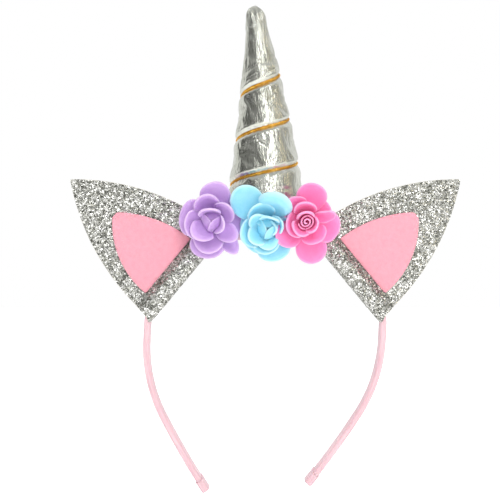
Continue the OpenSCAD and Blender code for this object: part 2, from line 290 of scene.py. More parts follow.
def mixSatin():
    # long floats along the ribbon, a faint rib across it, and painted sheen and shade: soft lengthwise
    # light and dark streaks and soft paler patches in the colour
    made = Recipe("satinRibbon")
    sheenStreak = made.noise(made.place((60, 900, 1), uv=True), 1.0, 4.0)
    thread = made.noise(made.place((700, 9000, 1), uv=True), 1.0, 2.0)
    rib = made.add("TexWave", "Fac", {"Vector": made.place(uv=True), "Scale": 420.0, "Distortion": 0.6,
                                      "Detail": 1.0, "Detail Scale": 3.0}, bands_direction="X")
    soilAndSheen = made.noise(made.place(), 60.0, 4.0)
    # painted sheen and shade: lengthwise streaks from a shaded to a lit pink
    colour = made.tint(sheenStreak, linear(216, 172, 182), linear(238, 202, 209))
    # painted sheen: soft patches tinted paler
    colour = made.tint(soilAndSheen, colour, linear(246, 218, 223), 0.35, 0.8, 0.3)
    bump = made.bumps((thread, 0.00006, 0.6), (rib, 0.00002, 0.5), (sheenStreak, 0.00012, 0.5))
    return made.finish(Base_Color=colour, Roughness=made.shift(sheenStreak, 0.2, 0.8, 0.34, 0.5), Normal=bump,
                       Anisotropic=0.55, Sheen_Weight=0.35, Sheen_Roughness=0.35, Specular_IOR_Level=0.6,
                       Subsurface_Weight=0.06, Subsurface_Scale=0.001)


def mixFelt(name, dark, light):
    # matted fibres: a fine tangle over soft lumps
    made = Recipe(name)
    here = made.place()
    lumps = made.noise(here, 420.0, 3.0)
    tangle = made.noise(here, 2600.0, 4.0, 0.7, 1.6)
    fibre = made.noise(made.place((900, 900, 5200)), 1.0, 3.0, 0.6, 2.2)
    across = made.noise(made.place((5200, 900, 900)), 1.0, 3.0, 0.6, 2.2)
    colour = made.tint(tangle, dark, light)
    colour = made.tint(lumps, colour, light, 0.35, 0.65, 0.45)
    bump = made.bumps((fibre, 0.00022, 0.7), (across, 0.00022, 0.6), (lumps, 0.0003, 0.5))
    return made.finish(Base_Color=colour, Roughness=0.95, Normal=bump, Sheen_Weight=0.45,
                       Sheen_Roughness=0.6, Specular_IOR_Level=0.15, Subsurface_Weight=0.08,
                       Subsurface_Scale=0.001)


def mixFoam(name, deep, body, edge):
    # closed-cell foam: tiny pores, a soft skin, and a painted highlight that makes each piece paler towards
    # its rim
    made = Recipe(name)
    here = made.place()
    cloud = made.noise(here, 110.0, 3.0)
    pores = made.add("TexVoronoi", "Distance", {"Vector": here, "Scale": 2400.0, "Randomness": 1.0})
    grain = made.noise(here, 1500.0, 3.0, 0.6)
    rim = made.add("Attribute", "Fac", {}, attribute_name="rim")
    colour = made.tint(cloud, body, deep, most=0.5)
    colour = made.tint(grain, colour, edge, 0.4, 0.75, 0.16)
    # painted highlight: paler where the rim value is high, near each petal's outline
    colour = made.tint(rim, colour, edge, 0.86, 1.0, 0.75)
    bump = made.bumps((pores, 0.00005, 0.35), (grain, 0.00012, 0.45), (cloud, 0.0006, 0.3))
    return made.finish(Base_Color=colour, Roughness=made.shift(grain, 0.3, 0.7, 0.5, 0.66), Normal=bump,
                       Subsurface_Weight=0.28, Subsurface_Scale=0.0022,
                       Subsurface_Radius=(1.0, 0.8, 0.9), Sheen_Weight=0.15, Specular_IOR_Level=0.35)


def mixLame():
    # metallised cloth: a fine square weave, crinkles and worn, duller patches
    made = Recipe("silverLame")
    here = made.place(uv=True)
    weave = made.add("TexBrick", "Fac", {"Vector": here, "Scale": 1800.0, "Mortar Size": 0.03,
                                         "Mortar Smooth": 0.6, "Brick Width": 0.6, "Row Height": 0.5})
    brushed = made.noise(made.place((820, 270, 1), uv=True), 1.0, 1.0, 0.35, 0.4)
    fine = made.noise(made.place((1500, 700, 1), uv=True), 1.0, 3.0, 0.6, 0.4)
    soft = made.noise(made.place((110, 40, 1), uv=True), 1.0, 2.0)
    worn = made.noise(made.place(), 85.0, 4.0)
    colour = made.tint(worn, linear(216, 217, 208), linear(194, 196, 185), 0.35)
    bump = made.bumps((weave, 0.00003, 0.35), (fine, 0.00006, 0.3), (brushed, 0.0005, 0.42),
                      (soft, 0.0004, 0.25))
    return made.finish(Base_Color=colour, Metallic=1.0, Roughness=made.shift(worn, 0.3, 0.7, 0.1, 0.18),
                       Anisotropic=0.3, Normal=bump)


def mixGlitterSheet():
    # the glued ground under the flakes: small facets, each with its own lean and a painted glint, its own
    # brightness set in its colour
    made = Recipe("glitterSheet")
    here = made.place()
    cells = made.add("TexVoronoi", "Color", {"Vector": here, "Scale": 1250.0, "Randomness": 1.0})
    red = made.add("SeparateColor", "Red", {"Color": cells})
    green = made.add("SeparateColor", "Green", {"Color": cells})
    lean = made.add("VectorMath", "Vector", {0: cells, 1: (0.5, 0.5, 0.5)}, operation="SUBTRACT")
    lean = made.add("VectorMath", "Vector", {0: lean, "Scale": 1.1}, operation="SCALE")
    turned = made.add("VectorMath", "Vector", {0: made.add("NewGeometry", "Normal", {}), 1: lean})
    turned = made.add("VectorMath", "Vector", {0: turned}, operation="NORMALIZE")
    # painted glint: each facet tinted from dark to bright at random, standing in for how it catches the
    # light
    colour = made.tint(red, linear(96, 98, 92), linear(214, 214, 208), 0.0, 1.0)
    return made.finish(Base_Color=colour, Metallic=0.75, Normal=turned,
                       Roughness=made.shift(green, 0, 1, 0.22, 0.5))


def mixFlakes():
    # cut foil flakes, with painted glint: each flake's colour set from dark to white by its stored value,
    # in brighter and darker clumps, a few slightly olive
    made = Recipe("glitterFlakes")
    glint = made.add("Attribute", "Fac", {}, attribute_name="flakeShade")
    ramp = made.tree.nodes.new("ShaderNodeValToRGB")
    ramp.color_ramp.interpolation = "LINEAR"
    ramp.color_ramp.elements[0].color = linear(112, 112, 104)
    ramp.color_ramp.elements[1].color = linear(255, 255, 252)
    for position, tint in ((0.25, (150, 151, 140)), (0.55, (205, 206, 200)), (0.8, (236, 236, 232))):
        ramp.color_ramp.elements.new(position).color = linear(*tint)
    # painted glint: clumps of brighter and darker flakes
    glintClump = made.shift(made.noise(made.place(), 430.0, 2.0), 0.36, 0.64, -0.34, 0.34)
    fill(made.tree, ramp.inputs["Fac"], made.add("Math", "Value", {0: glint, 1: glintClump}))
    scratch = made.noise(made.place(), 5200.0, 2.0)
    return made.finish(Base_Color=ramp.outputs["Color"], Metallic=0.68,
                       Normal=made.bumps((scratch, 0.00002, 0.3)),
                       Roughness=made.shift(scratch, 0.3, 0.7, 0.14, 0.3))


def mixCanvas():
    # the sheet's cloth side and cut edge
    made = Recipe("creamBacking")
    here = made.place()
    weave = {"Vector": here, "Scale": 900.0, "Distortion": 1.2}
    threads, crossing = [made.add("TexWave", "Fac", weave, bands_direction=way) for way in "XZ"]
    soilAndSheen = made.noise(here, 160.0, 4.0)
    colour = made.tint(soilAndSheen, linear(236, 228, 208), linear(250, 245, 232))
    bump = made.bumps((threads, 0.00005, 0.5), (crossing, 0.00005, 0.5))
    return made.finish(Base_Color=colour, Roughness=0.85, Normal=bump, Sheen_Weight=0.15)


def mixGold():
    # foil-wrapped thread, with painted highlight: random patches tinted brighter
    made = Recipe("goldThread")
    here = made.place()
    wrap = made.noise(here, 2600.0, 3.0)
    glintPatch = made.noise(here, 240.0, 3.0)
    # painted highlight: random patches tinted brighter
    colour = made.tint(glintPatch, linear(188, 124, 30), linear(250, 200, 96))
    return made.finish(Base_Color=colour, Metallic=1.0, Roughness=made.shift(wrap, 0.3, 0.7, 0.2, 0.38),
                       Normal=made.bumps((wrap, 0.00006, 0.5)))


def mixGlue():
    # set hot-melt glue: milky, uneven and smooth
    made = Recipe("setGlue")
    cloud = made.noise(made.place(), 420.0, 3.0)
    colour = made.tint(cloud, linear(226, 222, 206), linear(246, 244, 236))
    return made.finish(Base_Color=colour, Roughness=made.shift(cloud, 0.3, 0.7, 0.16, 0.34),
                       Transmission_Weight=0.35, Subsurface_Weight=0.2, Subsurface_Scale=0.001,
                       Normal=made.bumps((cloud, 0.0002, 0.4)))


def mixPlain(name, dark, light, scale, rough, metal=0.0):
    made = Recipe(name)
    cloud = made.noise(made.place(), scale, 4.0)
    colour = made.tint(cloud, dark, light)
    return made.finish(Base_Color=colour, Metallic=metal, Normal=made.bumps((cloud, 0.00008, 0.4)),
                       Roughness=made.shift(cloud, 0.3, 0.7, rough, rough + 0.12))


satin = mixSatin()
pinkFelt = mixFelt("pinkFelt", linear(240, 146, 164), linear(255, 178, 193))
paleFelt = mixFelt("paleFelt", linear(240, 200, 206), linear(252, 224, 228))
lame = mixLame()
glitterSheet = mixGlitterSheet()
flakes = mixFlakes()
canvas = mixCanvas()
gold = mixGold()
setGlue = mixGlue()
silverThread = mixPlain("silverThread", linear(176, 177, 172), linear(232, 232, 228), 3000.0, 0.3, 0.7)
corePlastic = mixPlain("corePlastic", linear(236, 234, 230), linear(248, 247, 244), 900.0, 0.4)
fibreFill = mixPlain("fibreFill", linear(232, 232, 232), linear(252, 252, 252), 1800.0, 0.9)
foams = {
    "Purple": mixFoam("foamPurple", linear(178, 138, 204), linear(204, 168, 226), linear(226, 200, 238)),
    "Blue": mixFoam("foamBlue", linear(122, 206, 236), linear(164, 228, 246), linear(206, 242, 252)),
    "Pink": mixFoam("foamPink", linear(240, 108, 174), linear(254, 142, 198), linear(255, 180, 218)),
}
print("stage: materials")


band = {
    "halfWidth": 60.6, "crownZ": 29.5, "crownRadius": 38.0, "sideRadius": 20.0, "slope": 39.5,
    "hingeZ": 8.547, "armRadius": 77.0, "armTurn": 30.0, "toeRadius": 400.0, "toeTurn": 6.3,
    "splay": {"Left": 3.0, "Right": -3.0},
    "headZ": -30.0,             # the middle of the head, which the band's inner face looks to
    "thick": 3.3, "depth": 8.1, "corner": 1.15, "ribbon": 0.4,
    "seamStep": 0.22,           # the ribbon's top edge lies on its other edge along the inner face
    "pucker": 0.07,             # small puckers where the ribbon goes round a bend
    "blendReach": 9.0,          # the ribbon bends this far to each side of the hinge
    "ringStep": 1.0,
    "cut": (23.5, 172.0),       # the ribbon's flat size for each half of the band
    "tuckThick": 0.32, "tuckOver": 0.75, "tuckSlant": 1.4,
    "rippleSeed": {"Left": 3.0, "Right": 11.0}, "tuckSeed": {"Left": 2.0, "Right": 9.0},
}


def arcPoints(x, z, radius, fromAngle, toAngle, step):
    count = max(2, int(abs(math.radians(toAngle - fromAngle)) * radius / step))
    angles = np.radians(np.linspace(fromAngle, toAngle, count + 1))
    return [(x + radius * math.cos(a), z + radius * math.sin(a)) for a in angles]


def linePoints(start, end, step):
    count = max(1, int(math.dist(start, end) / step))
    start, end = np.array(start), np.array(end)
    return [tuple(start + (end - start) * i / count) for i in range(count + 1)]


def bandRoute(side):
    # the band's centreline as (x, z) in millimetres, from the crown's middle down to the tip
    b, step = band, band["ringStep"]
    slope = math.radians(b["slope"])
    sideX = b["halfWidth"] - b["sideRadius"]
    start = (b["crownRadius"] * math.cos(slope), b["crownZ"] + b["crownRadius"] * math.sin(slope))
    end = (sideX + b["sideRadius"] * math.cos(slope), b["hingeZ"] + b["sideRadius"] * math.sin(slope))
    crown = arcPoints(0, b["crownZ"], b["crownRadius"], 90, b["slope"], step)
    crown += linePoints(start, end, step)[1:]
    crown += arcPoints(sideX, b["hingeZ"], b["sideRadius"], b["slope"], 0, step)[1:]
    arm = linePoints((b["halfWidth"], b["hingeZ"]), (b["halfWidth"], 0), step)[1:]
    arm += arcPoints(b["halfWidth"] - b["armRadius"], 0, b["armRadius"], 0, -b["armTurn"], step)[1:]
    shift = b["armRadius"] - b["toeRadius"]
    turn = math.radians(b["armTurn"])
    toe = (b["halfWidth"] - b["armRadius"] + shift * math.cos(turn), -shift * math.sin(turn))
    arm += arcPoints(*toe, b["toeRadius"], -b["armTurn"], -b["armTurn"] - b["toeTurn"], step)[1:]
    lean = -math.radians(b["splay"][side])
    turned = []
    for x, z in arm:
        dx, dz = x - b["halfWidth"], z - b["hingeZ"]
        turned.append((b["halfWidth"] + dx * math.cos(lean) + dz * math.sin(lean),
                       b["hingeZ"] - dx * math.sin(lean) + dz * math.cos(lean)))
    sign = -1 if side == "Left" else 1
    return [(sign * x, z) for x, z in crown + turned]


def roundedSection(thick, depth, corner, perCorner=6, perSide=5, perEdge=3):
    # points round a rounded rectangle, as (outward from the head, depth), counter-clockwise
    points = []
    corners = [(1, 1, 0), (-1, 1, 90), (-1, -1, 180), (1, -1, 270)]
    for (sx, sy, angle), between in zip(corners, [perEdge, perSide, perEdge, perSide]):
        cx, cy = sx * (thick / 2 - corner), sy * (depth / 2 - corner)
        for i in range(perCorner):
            a = math.radians(angle + 90 * i / (perCorner - 1))
            points.append((cx + corner * math.cos(a), cy + corner * math.sin(a)))
        if between:
            last = points[-1]
            nxt = corners[(corners.index((sx, sy, angle)) + 1) % 4]
            a = math.radians(angle + 90)
            goal = (nxt[0] * (thick / 2 - corner) + corner * math.cos(a),
                    nxt[1] * (depth / 2 - corner) + corner * math.sin(a))
            for i in range(1, between + 1):
                t = i / (between + 1)
                points.append((last[0] + (goal[0] - last[0]) * t, last[1] + (goal[1] - last[1]) * t))
    return points


def sweepShell(name, route, outer, inner, material, ripple=None):
    # a hollow sleeve: an outer and an inner skin along a route in the front plane, closed at both ends
    count, n = len(outer), len(route)
    route = np.array(route)
    tangent = np.gradient(route, axis=0)
    tangent /= np.linalg.norm(tangent, axis=1)[:, None]
    length = np.concatenate([[0], np.cumsum(np.linalg.norm(np.diff(route, axis=0), axis=1))])
    girth = np.cumsum([0] + [math.dist(outer[i], outer[(i + 1) % count]) for i in range(count)])
    points, uvs = [], []
    for section in (outer, inner):
        for i in range(n):
            away = (-tangent[i][1], tangent[i][0])
            if away[0] * route[i][0] + away[1] * (route[i][1] - band["headZ"]) < 0:
                away = (-away[0], -away[1])
            for k, (a, d) in enumerate(section):
                grow = ripple(i, k, a, d, length[i]) if ripple else 0.0
                norm = math.hypot(a, d)
                a, d = a + grow * a / norm, d + grow * d / norm
                points.append((mm * (route[i][0] + a * away[0]), mm * d, mm * (route[i][1] + a * away[1])))
                uvs.append((mm * length[i], mm * girth[k]))
    faces = gridFaces(n, count, 0, wrap=True)
    faces += gridFaces(n, count, n * count, wrap=True, flip=True)
    for end in (0, n - 1):
        for k in range(count):
            a, b = end * count + k, end * count + (k + 1) % count
            quad = (a, b, b + n * count, a + n * count)
            faces.append(quad[::-1] if end == 0 else quad)
    piece = makePiece(name, points, faces, material, uvs)
    faceOutward(piece)
    return piece


def wrapBand(side):
    b = band
    outer = roundedSection(b["thick"], b["depth"], b["corner"])
    bore = (b["thick"] - 2 * b["ribbon"], b["depth"] - 2 * b["ribbon"])
    inner = roundedSection(bore[0], bore[1], b["corner"] - b["ribbon"])
    seed = b["rippleSeed"][side]

    def ripple(i, k, a, d, along):
        fine = noise.noise((along * 0.55, k * 0.45, seed)) * b["pucker"]
        slow = noise.noise((along * 0.08, k * 0.2, seed + 5)) * b["pucker"]
        lap = b["seamStep"] * (1 if a < -1.2 and -1.1 < d < 2.6 else 0)
        return fine * (1.4 if a < 0 else 0.5) + slow + lap * 0.5

    route = bandRoute(side)
    piece = sweepShell("bandWrap" + side, route, outer, inner, satin, ripple)
    low = side.lower()
    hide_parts("band_ribbon_" + low, "band_ribbon_crown")
    flatSize(b["cut"])
    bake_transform(piece)


def tuckTip(side):
    # the ribbon's end, folded over the tip and glued back on itself
    b = band
    route = bandRoute(side)
    tail = np.array(route[-8:])
    step = tail[-1] - tail[-2]
    step = step / np.linalg.norm(step)
    base = roundedSection(b["thick"] + b["tuckOver"], b["depth"] + b["tuckOver"], b["corner"] + 0.2)
    count = len(base)
    rings = [(-6.0, 1.0), (-5.0, 1.0), (-3.4, 1.0), (-1.6, 1.0), (-0.4, 1.0), (0.15, 0.96), (0.45, 0.86),
             (0.62, 0.66), (0.68, 0.4)]
    away = np.array((-step[1], step[0]))
    if away @ (tail[-1] - np.array((0, b["headZ"]))) < 0:
        away = -away
    curve = np.array(route)
    lengths = np.concatenate([[0], np.cumsum(np.linalg.norm(np.diff(curve, axis=0), axis=1))])
    points, uvs = [], []
    for along, size in rings:
        if along <= 0:
            at = np.array([np.interp(lengths[-1] + along, lengths, curve[:, j]) for j in (0, 1)])
        else:
            at = tail[-1] + step * along
        for k, (a, d) in enumerate(base):
            wob = 1 + 0.012 * noise.noise((along * 0.7, k * 0.5, b["tuckSeed"][side]))
            # the free edge of the tuck runs at a slant across the band
            slip = b["tuckSlant"] * (d / b["depth"] + 0.5) if along < -5.5 else 0.0
            p = at - step * slip + away * a * size * wob
            points.append((mm * p[0], mm * d * size * wob, mm * p[1]))
            uvs.append((mm * along, mm * k * 0.6))
    faces = gridFaces(len(rings), count, 0, wrap=True)
    faces.append(tuple((len(rings) - 1) * count + k for k in range(count)))
    piece = makePiece("tipTuck" + side, points, faces, satin, uvs)
    faceOutward(piece)
    solid = piece.modifiers.new("ribbonThickness", "SOLIDIFY")
    solid.thickness = b["tuckThick"] * mm
    solid.offset = -1
    low = side.lower()
    finishPiece(piece, low + "_arm", "satin_ribbon", "tip_tuck_" + low)


for side in ("Left", "Right"):
    wrapBand(side)
    tuckTip(side)
for node in ("band_core_crown", "band_core_left", "band_core_right"):
    dress(node, corePlastic)
print("stage: band")


ear = {
    "width": 57.8, "height": 78.8, "at": (39.7, 32.6), "slope": 50.5,
    "glitter": 0.35,            # the glitter sheet's thickness; its backing fills the rest
    # half of the folded sheet's outer profile, as (height, depth), from the bottom to the two leaves
    "profile": [(0.02, 0), (0.06, 2.4), (0.75, 4.35), (2.6, 5.15), (4.8, 5.2), (6.9, 5.05), (8.5, 3.95),
                (9.9, 2.35), (11.3, 1.2), (13.2, 0.84), (16.0, 0.8)],
    "rim": 0.18,                # the backing stands this far out of the glitter's edge
    "wave": 0.55,               # the leaves aren't quite flat
    "flakesPerMm2": 2.1, "flakeSize": 0.46, "flakeLean": 24.0,
    "flakeSeed": {"Left": 3, "Right": 8},
    "cut": (58.0, 171.0),       # the glitter sheet's flat size
    "area": 6900.0,
    "feltCut": (34.0, 37.0), "feltArea": 980.0,
    "feltThick": 1.2, "feltEdge": 0.45, "feltPuff": 0.1,
    "feltFoot": 11.5,           # the insert's straight foot stands this high above the fold
    "feltLift": 0.98,           # and its back this far in front of the ear's middle
}


def earWidthAt(y):
    arc = (ear["height"] ** 2 + (ear["width"] / 2) ** 2) / ear["width"]
    return math.sqrt(max(arc ** 2 - y ** 2, 0)) - (arc - ear["width"] / 2)


def leafWave(x, y):
    # one gentle buckle in each ear's leaf, none at the fold
    rise = float(smoothStep(10, 30, y))
    return ear["wave"] * rise * (math.sin(0.075 * x + 0.03 * y + 0.6) - 0.5 * math.sin(0.05 * y))


def earToFrame(side, x, y, z):
    # x runs down the fold, y up to the tip and z towards the front, all in millimetres
    s = math.radians(ear["slope"])
    across = ear["at"][0] + x * math.cos(s) + y * math.sin(s)
    up = ear["at"][1] - x * math.sin(s) + y * math.cos(s)
    return (mm * across * (-1 if side == "Left" else 1), mm * -z, mm * up)


def smoothCurve(points, perSpan=5):
    # a Catmull-Rom curve through the points
    pts = [np.array(p, float) for p in points]
    pts = [2 * pts[0] - pts[1]] + pts + [2 * pts[-1] - pts[-2]]
    curve = []
    for a, b, c, d in zip(pts, pts[1:], pts[2:], pts[3:]):
        for i in range(perSpan):
            t = i / perSpan
            curve.append(0.5 * (2 * b + (c - a) * t + (2 * a - 5 * b + 4 * c - d) * t * t
                                + (3 * b - a - 3 * c + d) * t ** 3))
    curve.append(pts[-2])
    return curve


def foldProfile(inset):
    # the whole profile from the back leaf's tip round the fold to the front leaf's tip, as (y, z)
    half = [tuple(p) for p in smoothCurve(ear["profile"])]
    top = ear["height"] - 0.3
    half += [(y, 0.8) for y in np.linspace(half[-1][0], top, 26)[1:]]
    whole = np.array([(y, -z) for y, z in half[::-1]] + half[1:])
    tangent = np.gradient(whole, axis=0)
    tangent /= np.linalg.norm(tangent, axis=1)[:, None]
    normal = np.stack([-tangent[:, 1], tangent[:, 0]], axis=1)
    if normal[-1][1] > 0:
        normal = -normal
    inner = whole + normal * inset
    # the two leaves meet in the middle above the fold
    least = np.where(whole[:, 0] > 9.5, 0.8 - inset, 0)
    keep = np.sign(whole[:, 1]) * np.maximum(np.abs(inner[:, 1]), least)
    inner[:, 1] = np.where(np.abs(whole[:, 1]) > 0.01, keep, inner[:, 1])
    return inner


def foldedLayer(name, side, outerInset, innerInset, margin, material, across=30):
    points, uvs = [], []
    profiles = [foldProfile(outerInset), foldProfile(innerInset)]
    rows = len(profiles[0])
    middle = rows // 2
    lengths = np.concatenate([[0], np.cumsum(np.linalg.norm(np.diff(profiles[0], axis=0), axis=1))])
    for profile in profiles:
        for r, (y, z) in enumerate(profile):
            reach = earWidthAt(max(y, 0)) + margin
            corner = 1.7 * math.exp(-(max(y, 0) / 2.6) ** 2) if r > middle - 8 else 0.0
            for c in range(across + 1):
                u = -1 + 2 * c / across
                x = u * reach + (corner * max(u, 0) ** 3)
                points.append(earToFrame(side, x, y, z + leafWave(x, y)))
                uvs.append((mm * x, mm * lengths[r]))
    columns = across + 1
    faces = gridFaces(rows, columns) + gridFaces(rows, columns, rows * columns, flip=True)
    skin = rows * columns
    rim = [(r * columns, (r + 1) * columns) for r in range(rows - 1)]
    rim += [((r + 1) * columns + across, r * columns + across) for r in range(rows - 1)]
    rim += [(c + 1, c) for c in range(across)]
    rim += [((rows - 1) * columns + c, (rows - 1) * columns + c + 1) for c in range(across)]
    faces += [(a, b, b + skin, a + skin) for a, b in rim]
    piece = makePiece(name, points, faces, material, uvs)
    faceOutward(piece)
    piece.data.set_sharp_from_angle(angle=math.radians(50))
    return piece


def startTree(name, values):
    # a tree that takes geometry, the named values and a material, and gives geometry
    tree = bpy.data.node_groups.new(name, "GeometryNodeTree")
    face = tree.interface
    face.new_socket("Geometry", in_out="INPUT", socket_type="NodeSocketGeometry")
    for key, value in values.items():
        kind = "NodeSocketInt" if isinstance(value, int) else "NodeSocketFloat"
        face.new_socket(key, in_out="INPUT", socket_type=kind).default_value = value
    face.new_socket("Material", in_out="INPUT", socket_type="NodeSocketMaterial")
    face.new_socket("Geometry", in_out="OUTPUT", socket_type="NodeSocketGeometry")

    def add(kind, inputs=None, **options):
        return addNode(tree, kind, inputs, **options).outputs

    return tree, add("NodeGroupInput"), add


def endTree(add, given, geometry):
    real = add("GeometryNodeRealizeInstances", {"Geometry": geometry})
    made = add("GeometryNodeSetMaterial", {"Geometry": real["Geometry"], "Material": given["Material"]})
    add("NodeGroupOutput", {"Geometry": made["Geometry"]})


def flakeTree():
    # scatters small foil flakes over the glitter sheet, each with its own size and lean, and a random value
    # that paints its glint into its colour
    tree, given, add = startTree("scatterFlakes", {"Density": 1.0, "Size": 0.001, "Lean": 0.3, "Seed": 0})
    scatter = add("GeometryNodeDistributePointsOnFaces", {
        "Mesh": given["Geometry"], "Density": given["Density"], "Seed": given["Seed"]},
        distribute_method="RANDOM")
    flake = add("GeometryNodeMeshCone", {"Vertices": 6, "Radius Top": 1.0, "Radius Bottom": 0.55,
                                         "Depth": 0.28}, fill_type="NGON")
    less = add("ShaderNodeMath", {0: given["Lean"], 1: -1.0}, operation="MULTIPLY")[0]
    low = add("ShaderNodeCombineXYZ", {"X": less, "Y": less})[0]
    high = add("ShaderNodeCombineXYZ", {"X": given["Lean"], "Y": given["Lean"], "Z": math.tau})[0]
    lean = add("FunctionNodeRandomValue", {"Min": low, "Max": high}, data_type="FLOAT_VECTOR")
    turn = add("FunctionNodeRotateEuler", {"Rotation": scatter["Rotation"], "Rotate By": lean["Value"]},
               rotation_type="EULER", space="LOCAL")
    grade = add("FunctionNodeRandomValue", {"Min": (0.6, 0.6, 0.5), "Max": (1.25, 1.0, 1.0), "Seed": 7},
                data_type="FLOAT_VECTOR")
    size = add("ShaderNodeVectorMath", {0: grade["Value"], "Scale": given["Size"]}, operation="SCALE")
    place = add("GeometryNodeInstanceOnPoints", {
        "Points": scatter["Points"], "Instance": flake["Mesh"], "Rotation": turn["Rotation"],
        "Scale": size["Vector"]})
    # the value that paints each flake's glint into its colour
    glint = add("FunctionNodeRandomValue", {"Seed": 11}, data_type="FLOAT")
    store = add("GeometryNodeStoreNamedAttribute", {
        "Geometry": place["Instances"], "Name": "flakeShade",
        "Value": [o for o in glint if o.enabled][0]}, data_type="FLOAT", domain="INSTANCE")
    endTree(add, given, store["Geometry"])
    return tree


def bakeTree(tree, name, source, values):
    # runs a node tree on a copy of a mesh and keeps the plain result as a new piece
    host = bpy.data.objects.new(name + "Host", source)
    scene.collection.objects.link(host)
    made = host.modifiers.new("tree", "NODES")
    made.node_group = tree
    for item in tree.interface.items_tree:
        if item.in_out == "INPUT" and item.name in values:
            made[item.identifier] = values[item.name]
    host.update_tag()
    result = host.evaluated_get(bpy.context.evaluated_depsgraph_get())
    mesh = bpy.data.meshes.new_from_object(result)
    mesh.name = name
    bpy.data.objects.remove(host)
    piece = bpy.data.objects.new(name, mesh)
    scene.collection.objects.link(piece)
    return piece


def flakeGround(side):
    # the outer face of the glitter sheet alone, kept a little inside its edges
    points, profile = [], foldProfile(0.0)
    across = 24
    for y, z in profile:
        reach = earWidthAt(max(y, 0)) - 0.25
        for c in range(across + 1):
            x = reach * (-1 + 2 * c / across)
            points.append(earToFrame(side, x, y, z + leafWave(x, y)))
    faces = gridFaces(len(profile), across + 1, flip=(side == "Left"))
    mesh = bpy.data.meshes.new("flakeGround" + side)
    mesh.from_pydata(points, [], faces)
    mesh.update()
    front = max(mesh.polygons, key=lambda p: p.center.z if p.center.y < -0.0006 else -9)
    if front.normal.y > 0:
        mesh.flip_normals()
    return mesh


def feltOutline(y0):
    # the insert's outline: three arcs and a straight foot, as (x, y), from a point inside it
    circles = [(-25.8, 12.0, 46.2), (48.0, 10.0, 63.8), (0.0, 18.0, 31.4)]
    middle = np.array((2.5, 25.0))
    outline = []
    for i in range(120):
        a = math.tau * i / 120
        ray = np.array((math.cos(a), math.sin(a)))
        best = 1e9
        for cx, cy, radius in circles:
            away = middle - np.array((cx, cy))
            b = away @ ray
            best = min(best, -b + math.sqrt(b * b - away @ away + radius ** 2))
        if ray[1] < 0:
            best = min(best, (y0 - middle[1]) / ray[1])
        outline.append((ray, best))
    return middle, outline


def padFromOutline(name, middle, outline, place, thick, edge, material, puff=0.0, rings=12):
    # a flat pad of cloth with softly rounded edges; place(x, y, z) puts a point of it in the frame
    levels = []
    for size in [i / rings for i in range(1, rings + 1)]:
        near = max(0.0, 1 - (1 - size) * rings / 2.2)
        levels.append((size, thick - edge * near ** 3))
    levels += [(1.0 + 0.006, thick * 0.5), (1.0 - 0.004, 0.0)]
    points = [place(middle[0], middle[1], thick + puff)]
    count = len(outline)
    for size, high in levels:
        for i, (ray, far) in enumerate(outline):
            x, y = middle + ray * far * size
            lump = 0.09 * noise.noise((x * 0.5, y * 0.5, 3.0)) if high > 0.3 * thick else 0.0
            frayed = 0.07 * noise.noise((i * 0.9, size * 4, 7.0)) if size > 0.9 else 0.0
            x, y = x + ray[0] * frayed, y + ray[1] * frayed
            points.append(place(x, y, high + lump + puff * (1 - size ** 2)))
    points.append(place(middle[0], middle[1], 0.0))
    faces = [(0, 1 + i, 1 + (i + 1) % count) for i in range(count)]
    faces += gridFaces(len(levels), count, 1, wrap=True)
    last = 1 + (len(levels) - 1) * count
    faces += [(last + (i + 1) % count, last + i, len(points) - 1) for i in range(count)]
    piece = makePiece(name, points, faces, material)
    faceOutward(piece)
    return piece


earFlakes = flakeTree()


def buildEar(side):
    low = side.lower()
    layers = (
        ("Glitter", 0.0, ear["glitter"], 0.0, glitterSheet, "glitter_sheet"),
        ("Backing", ear["glitter"] + 0.02, 0.8, ear["rim"], canvas, "cream_backing"),
    )
    for kind, outset, inset, margin, material, slot in layers:
        leaf = foldedLayer("ear" + kind + side, side, outset, inset, margin, material)
        flatSize(ear["cut"])
        finishPiece(leaf, "crown", slot, "ear_%s_%s" % (kind.lower(), low))
    scattered = bakeTree(earFlakes, "earFlakes" + side, flakeGround(side), {
        "Density": ear["flakesPerMm2"] / mm ** 2, "Size": ear["flakeSize"] * mm,
        "Lean": math.radians(ear["flakeLean"]), "Seed": ear["flakeSeed"][side], "Material": flakes})
    finishPiece(scattered, "crown", "glitter_sheet")
    middle, outline = feltOutline(ear["feltFoot"])
    insert = padFromOutline("earFelt" + side, middle, outline,
                            lambda x, y, z: earToFrame(side, x, y, z + ear["feltLift"] + leafWave(x, y)),
                            ear["feltThick"], ear["feltEdge"], pinkFelt, puff=ear["feltPuff"], rings=16)
    flatSize(ear["feltCut"])
    finishPiece(insert, "crown", "pink_felt", "ear_felt_" + low)
    dress("ear_glue_" + low, setGlue)


for side in ("Left", "Right"):
    buildEar(side)
print("stage: ears")


